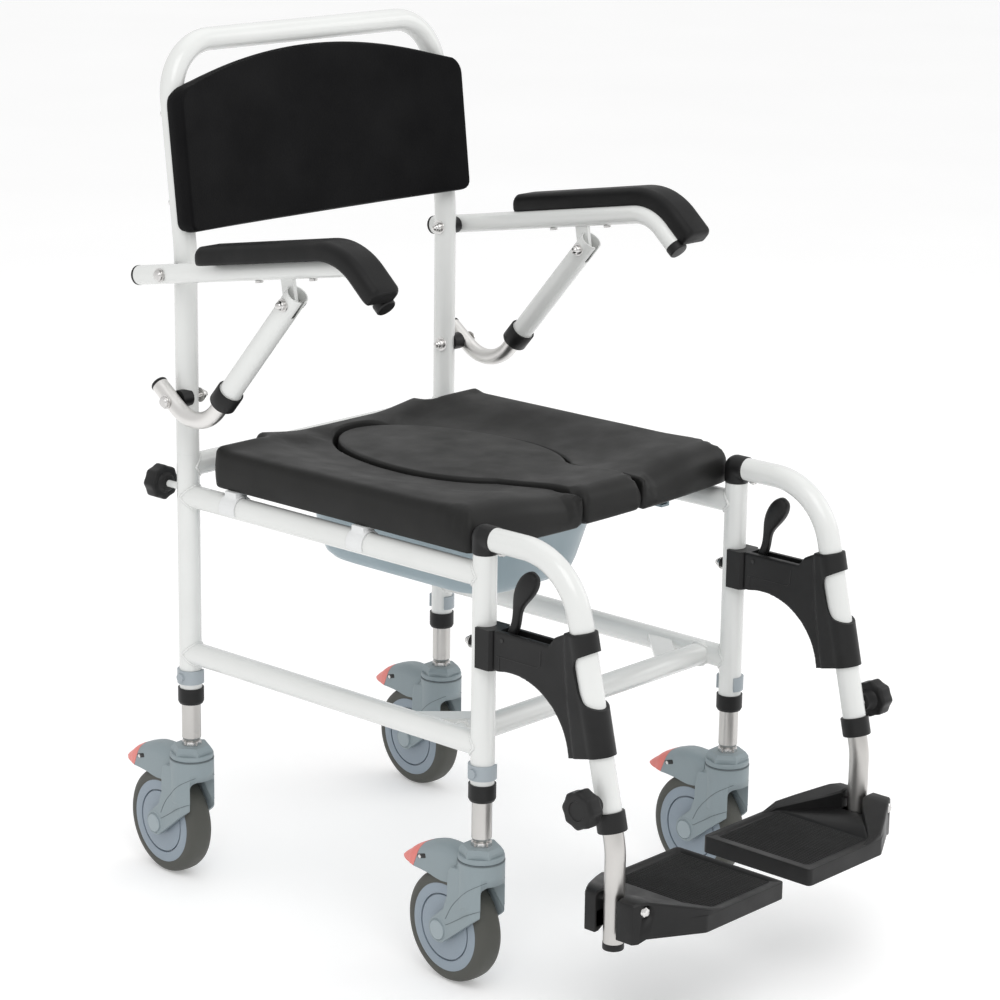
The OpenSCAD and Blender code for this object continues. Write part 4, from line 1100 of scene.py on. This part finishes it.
def crown_shape():
    """The ring and the hexagonal cap on top of the swivel housing."""
    ring = lathe([(23.6, 150.4), (24.9, 150.8), (25.2, 151.4), (25.2, 155.0), (24.4, 156.2), (10, 156.2)],
                 steps=72)
    angles = [math.radians(60 * k + 8) for k in range(6)]
    rows = [[(24.6 * share * math.cos(a), 24.6 * share * math.sin(a), z) for a in angles]
            for share, z in ((1, 155.5), (1, 160.5), (0.86, 165.2))]
    return [ring, loft(rows)]


def fork_shape():
    """The swivel housing and the two arms that hold the axle."""
    shapes = [lathe([(24.6, 97), (25.6, 99), (25.6, 148.3), (25.0, 149.3), (24.0, 149.6), (24.0, 151.5),
                     (10, 151.5)], steps=72)]
    side = rounded([(-20, 92.5), (-30, 98), (-30, 140), (24, 140), (27.5, 122), (27.5, 106), (34, 88),
                    (57, 69), (51, 53), (33, 50.5)], [3, 3, 3, 8, 6, 10, 8, 12, 12, 10], 6)
    arms = mesh_object("arms", *prism(side, -24.4, 24.4, "x"), "grey")
    plan = ([(-40, -40), (40, -40), (40, 70), (24.6, 70), (24.6, 6)] + arc((0, 0), 25.4, 14, -194, 40)
            + [(-24.6, 6), (-24.6, 70), (-40, 70)])
    carve(arms, [prism(plan, 20, 200, "z")])
    mesh = arms.data
    shapes.append(([tuple(p.co) for p in mesh.vertices], [tuple(p.vertices) for p in mesh.polygons]))
    bpy.data.objects.remove(arms)
    for s in (-1, 1):
        shapes.append(rod((s * 17.6, *AXLE), (s * 25.2, *AXLE), 14.8, 48, 0.8))
    return shapes


def fork_piece():
    fork = mesh_object("fork_proto", *join_shapes(fork_shape()), "grey")
    fuse(fork, 1.0, 2, 0.4)
    arch = ([(-17.5, 60), (-17.5, 116)] + arc((-9.5, 118), 8, 180, 90, 5)
            + arc((9.5, 118), 8, 90, 0, 5) + [(17.5, 116), (17.5, 60)])
    carve(fork, [prism(arch, -40, 3, "y"), rod((-17.5, *AXLE), (17.5, *AXLE), 65.5, 72)])
    return thin(fork, 0.45)


def crease_piece():
    """Thin lines of painted shade along the fork's pressed edges and under its top ring."""
    def reach(y):
        return 24.5 if y > 7 else math.sqrt(max(25.55 ** 2 - y * y, 0.01))

    upper = spline([(-22.5, 131.5), (-17, 128), (-6, 120.5), (8, 108), (20, 94.5), (29, 78.5)], 7)
    lower = spline([(-18.5, 99.5), (-4, 92), (10, 83), (24, 74), (29.5, 71)], 7)
    lines = [sweep([(s * reach(a), a, b) for a, b in curve], 0.34, 6)
             for s in (-1, 1) for curve in (upper, lower)]
    lines.append(lathe([(25.0, 148.6), (25.75, 148.9), (25.75, 149.9), (25.0, 150.2)], steps=72))
    return mesh_object("creases_proto", *join_shapes(lines), "crease")


def axle_piece():
    prof = [(0.4, 27.3), (9.6, 27.3), (10.6, 26.6), (10.9, 25.0), (11.2, 24.9), (12.2, 25.9), (12.6, 24.0)]
    caps = [lathe(prof, (0, *AXLE), (s, 0, 0)) for s in (-1, 1)]
    return shapes_object("axle_proto", caps + [rod((-25, *AXLE), (25, *AXLE), 4.0)], "grey_light")


def turned(name, half_profile, mat, steps, angle, shared=0):
    """A round piece on the axle whose profile is mirrored about its middle."""
    prof = half_profile + [(r, -h) for r, h in reversed(half_profile[:len(half_profile) - shared])]
    return shapes_object(name, [lathe(prof + [prof[0]], (0, *AXLE), (1, 0, 0), steps)], mat, angle)


def wheel_pieces():
    half = 15.5
    face = [(4.05, -half + 1.2), (18, -half + 1.2), (34.6, -half + 0.2), (35.9, -half + 0.5),
            (36.2, -half + 3.4), (37.6, -half + 3.4), (37.9, -half + 0.2), (39, -half), (47.6, -half),
            (49, -half + 0.4)]
    tread = [(49.02, -half + 0.4), (50.5, -half), (54, -half + 0.1), (57.5, -half + 1.2), (60.4, -half + 3.6),
             (61.9, -half + 7), (62.45, -half + 11), (62.5, 0)]
    return turned("wheel_proto", face, "rim", 96, 30), turned("tyre_proto", tread, "tyre", 120, 50, shared=1)


PEDAL_TOP = {22: 152.5, 30: 153.6, 40: 154.6, 50: 154.8, 60: 153.8, 70: 151.8, 80: 148.4, 92: 141.6,
             104: 133.2, 114: 126.4, 123: 119.6}
PEDAL_LOW = {22: 120, 30: 118, 36: 115.5, 45: 114.6, 55: 115.4, 64: 117.2, 74: 117.8, 92: 117.6, 104: 117.0,
             114: 116.6, 123: 117.2}
PEDAL_HALF = {22: 17.2, 60: 17.2, 80: 16.2, 96: 13.4, 109: 9.6, 118: 5.8, 123: 2.4}


def pedal_section(y):
    """The pedal is an upside-down trough over the wheel; this is its outline at one y."""
    top, bot, half = [np.interp(y, list(curve), list(curve.values()))
                      for curve in (PEDAL_TOP, PEDAL_LOW, PEDAL_HALF)]
    room = math.sqrt(max(64.2 ** 2 - (y - AXLE[0]) ** 2, 0)) + AXLE[1] + 0.125 * (y - 18)
    roof = min(max(room + 0.8, bot + 0.4), top - 3)
    inner = half - 1.35 if roof > bot + 0.6 else half * 0.5
    r = min(12.0, half * 0.72, (top - bot) * 0.45)
    out = [(-half, bot + 0.6), (-half, (bot + top) / 2)]
    out += [(-half + r - r * math.cos(a), top - r + r * math.sin(a)) for a in np.linspace(0, math.pi / 2, 6)]
    out += [(-x, z) for x, z in reversed(out)]
    ins = [(inner, bot + 0.6), (inner, roof - 1), (inner - 1, roof)]
    ins += [(-x, z) for x, z in reversed(ins)]
    return [(x, y, z) for x, z in out + ins]


def joint_slant(z):
    """How far back the slanted joint between the pedal and its coral tip lies at height z."""
    return 11 - (z - 118) * 0.42


def pedal_pieces():
    stations = (24, 27, 31, 36, 41, 46, 51, 56, 61, 66, 71, 76, 80.5)
    pedal = shapes_object("pedal_proto", [loft([pedal_section(y) for y in stations])], "grey", 40)
    for p in pedal.data.vertices:
        if p.co.y < 33:
            p.co.y += (math.sqrt(26.2 ** 2 - p.co.x ** 2) - 24) * (33 - p.co.y) / 9
        if p.co.y > 60:
            p.co.y += ((p.co.y - 60) / 20.5) * joint_slant(p.co.z)
    v, f = loft([pedal_section(y) for y in
                 (81, 85, 89, 93, 97, 101, 105, 109, 113, 116.5, 119.5, 121.5, 122.8)])
    v = [(x, y + max(0, 1 - (y - 81) / 24) * joint_slant(z), z) for x, y, z in v]
    tip = shapes_object("tip_proto", [(v, f)], "coral", 40)
    # The pockets are dark patches of painted shade inside the pedal's slots.
    slot = rounded([(70, 133.5), (83, 129.5), (84.5, 134), (71.5, 138.5)], 1.8, 4)
    slots = [prism(slot, s * 12, s * 16.9) for s in (-1, 1)]
    pocket = mesh_object("pocket_proto", *join_shapes(slots), "dark")
    screws = [lathe([(0.2, 17.5), (1.9, 17.3), (2.4, 16.8), (2.4, 14)], (0, 80.5, 132.4), (s, 0, 0), 20)
              for s in (-1, 1)]
    return pedal, tip, pocket, shapes_object("pedal_screw_proto", screws, "steel")


def stem_nut():
    """Six flats round a ring, where the stem enters the caster."""
    flat = rounded([(-4.4, 164.8), (4.4, 164.8), (3.2, 170.4), (-3.2, 170.4)], 0.8, 3)
    verts, faces = prism(flat, 8.4, 10.6, "y")
    shapes = []
    for k in range(6):
        turn = Matrix.Rotation(math.radians(60 * k + 15), 4, "Z")
        shapes.append(([tuple(turn @ Vector(p)) for p in verts], faces))
    shapes.append(lathe([(7, 164.6), (9.4, 164.6), (9.4, 168), (7, 169.6)], steps=40))
    return shapes_object("stem_nut_proto", shapes, "steel")


def caster_pieces():
    fork = fork_piece()
    crown = mesh_object("crown_proto", *join_shapes(crown_shape()), "grey")
    bevel(crown, 0.8, 2, 20)
    creases, cap = crease_piece(), axle_piece()
    wheel, tyre = wheel_pieces()
    pedal, tip, pocket, screw = pedal_pieces()
    parts = [(fork, "fork_", "caster_fork_"), (crown, "fork_", None), (creases, "fork_", None),
             (cap, "fork_", None), (wheel, "wheel_", "caster_wheel_"), (tyre, "wheel_", "caster_tyre_"),
             (pedal, "brake_", "caster_brake_"), (tip, "brake_", None), (pocket, "brake_", None),
             (screw, "brake_", None), (stem_nut(), "extension_", None)]
    slots = {"fork_proto": "grey_plastic", "wheel_proto": "rim_grey", "tyre_proto": "tyre_grey",
             "pedal_proto": "grey_plastic"}
    for key, (long_name, x, y) in LEGS.items():
        place = Matrix.Translation(at(x, y, 0)) @ YAW @ SCALE
        for proto, body, node in parts:
            o = add_object(proto.name.replace("proto", long_name), proto.data)
            o.matrix_world = place
            finish_piece(o, body + long_name, [node + key] if node else [], slots.get(proto.name))
    for proto, _, _ in parts:
        bpy.data.objects.remove(proto)


caster_pieces()

# ---------- camera, floor and light ----------

def camera():
    place, target = at(-2488.2, -2321.0, 1368.4), at(63.34, 0, 449.34)
    ahead = (target - place).normalized()
    right = ahead.cross(Vector((0, 0, 1))).normalized()
    up = right.cross(ahead)
    roll = math.radians(0.8)
    side = right * math.cos(roll) + up * math.sin(roll)
    top = side.cross(ahead)
    cam = add_object("camera", bpy.data.cameras.new("camera"))
    cam.data.sensor_width = 36
    cam.data.lens = 111.918
    cam.data.clip_end = 50
    cam.matrix_world = Matrix((
        (side.x, top.x, -ahead.x, place.x), (side.y, top.y, -ahead.y, place.y),
        (side.z, top.z, -ahead.z, place.z), (0, 0, 0, 1)))
    bpy.context.scene.camera = cam


def area(name, place, target, size, power):
    light = bpy.data.lights.new(name, "AREA")
    light.energy = power
    light.size = size
    o = add_object(name, light)
    o.location = place
    o.rotation_euler = (Vector(target) - Vector(place)).to_track_quat("-Z", "Y").to_euler()


def studio():
    world = bpy.data.worlds.new("studio")
    bpy.context.scene.world = world
    world.use_nodes = True
    bg = world.node_tree.nodes["Background"]
    bg.inputs["Color"].default_value = (1.0, 1.0, 1.0, 1)
    bg.inputs["Strength"].default_value = 0.8
    area("key", (-1.6, -1.9, 3.2), (0, 0, 0.5), 2.2, 34)
    area("top", (0.6, 0.4, 3.4), (0, 0, 0.4), 2.6, 12)
    area("side", (2.8, -1.6, 1.8), (0, 0, 0.5), 1.8, 12)
    bm = bmesh.new()
    bmesh.ops.create_grid(bm, x_segments=8, y_segments=8, size=14)
    me = bpy.data.meshes.new("floor")
    bm.to_mesh(me)
    bm.free()
    floor = add_object("floor", me)
    m = Mat("floor")
    m.base((0.88, 0.88, 0.88), (0.9, 0.9, 0.9), 1.5)
    m.set(Roughness=0.8, Specular_IOR_Level=0.1, Emission_Color=(1, 1, 1, 1), Emission_Strength=0.24)
    me.materials.append(m.mat)
    bpy.context.scene.view_settings.view_transform = "Standard"


camera()
studio()

bpy.context.view_layer.update()
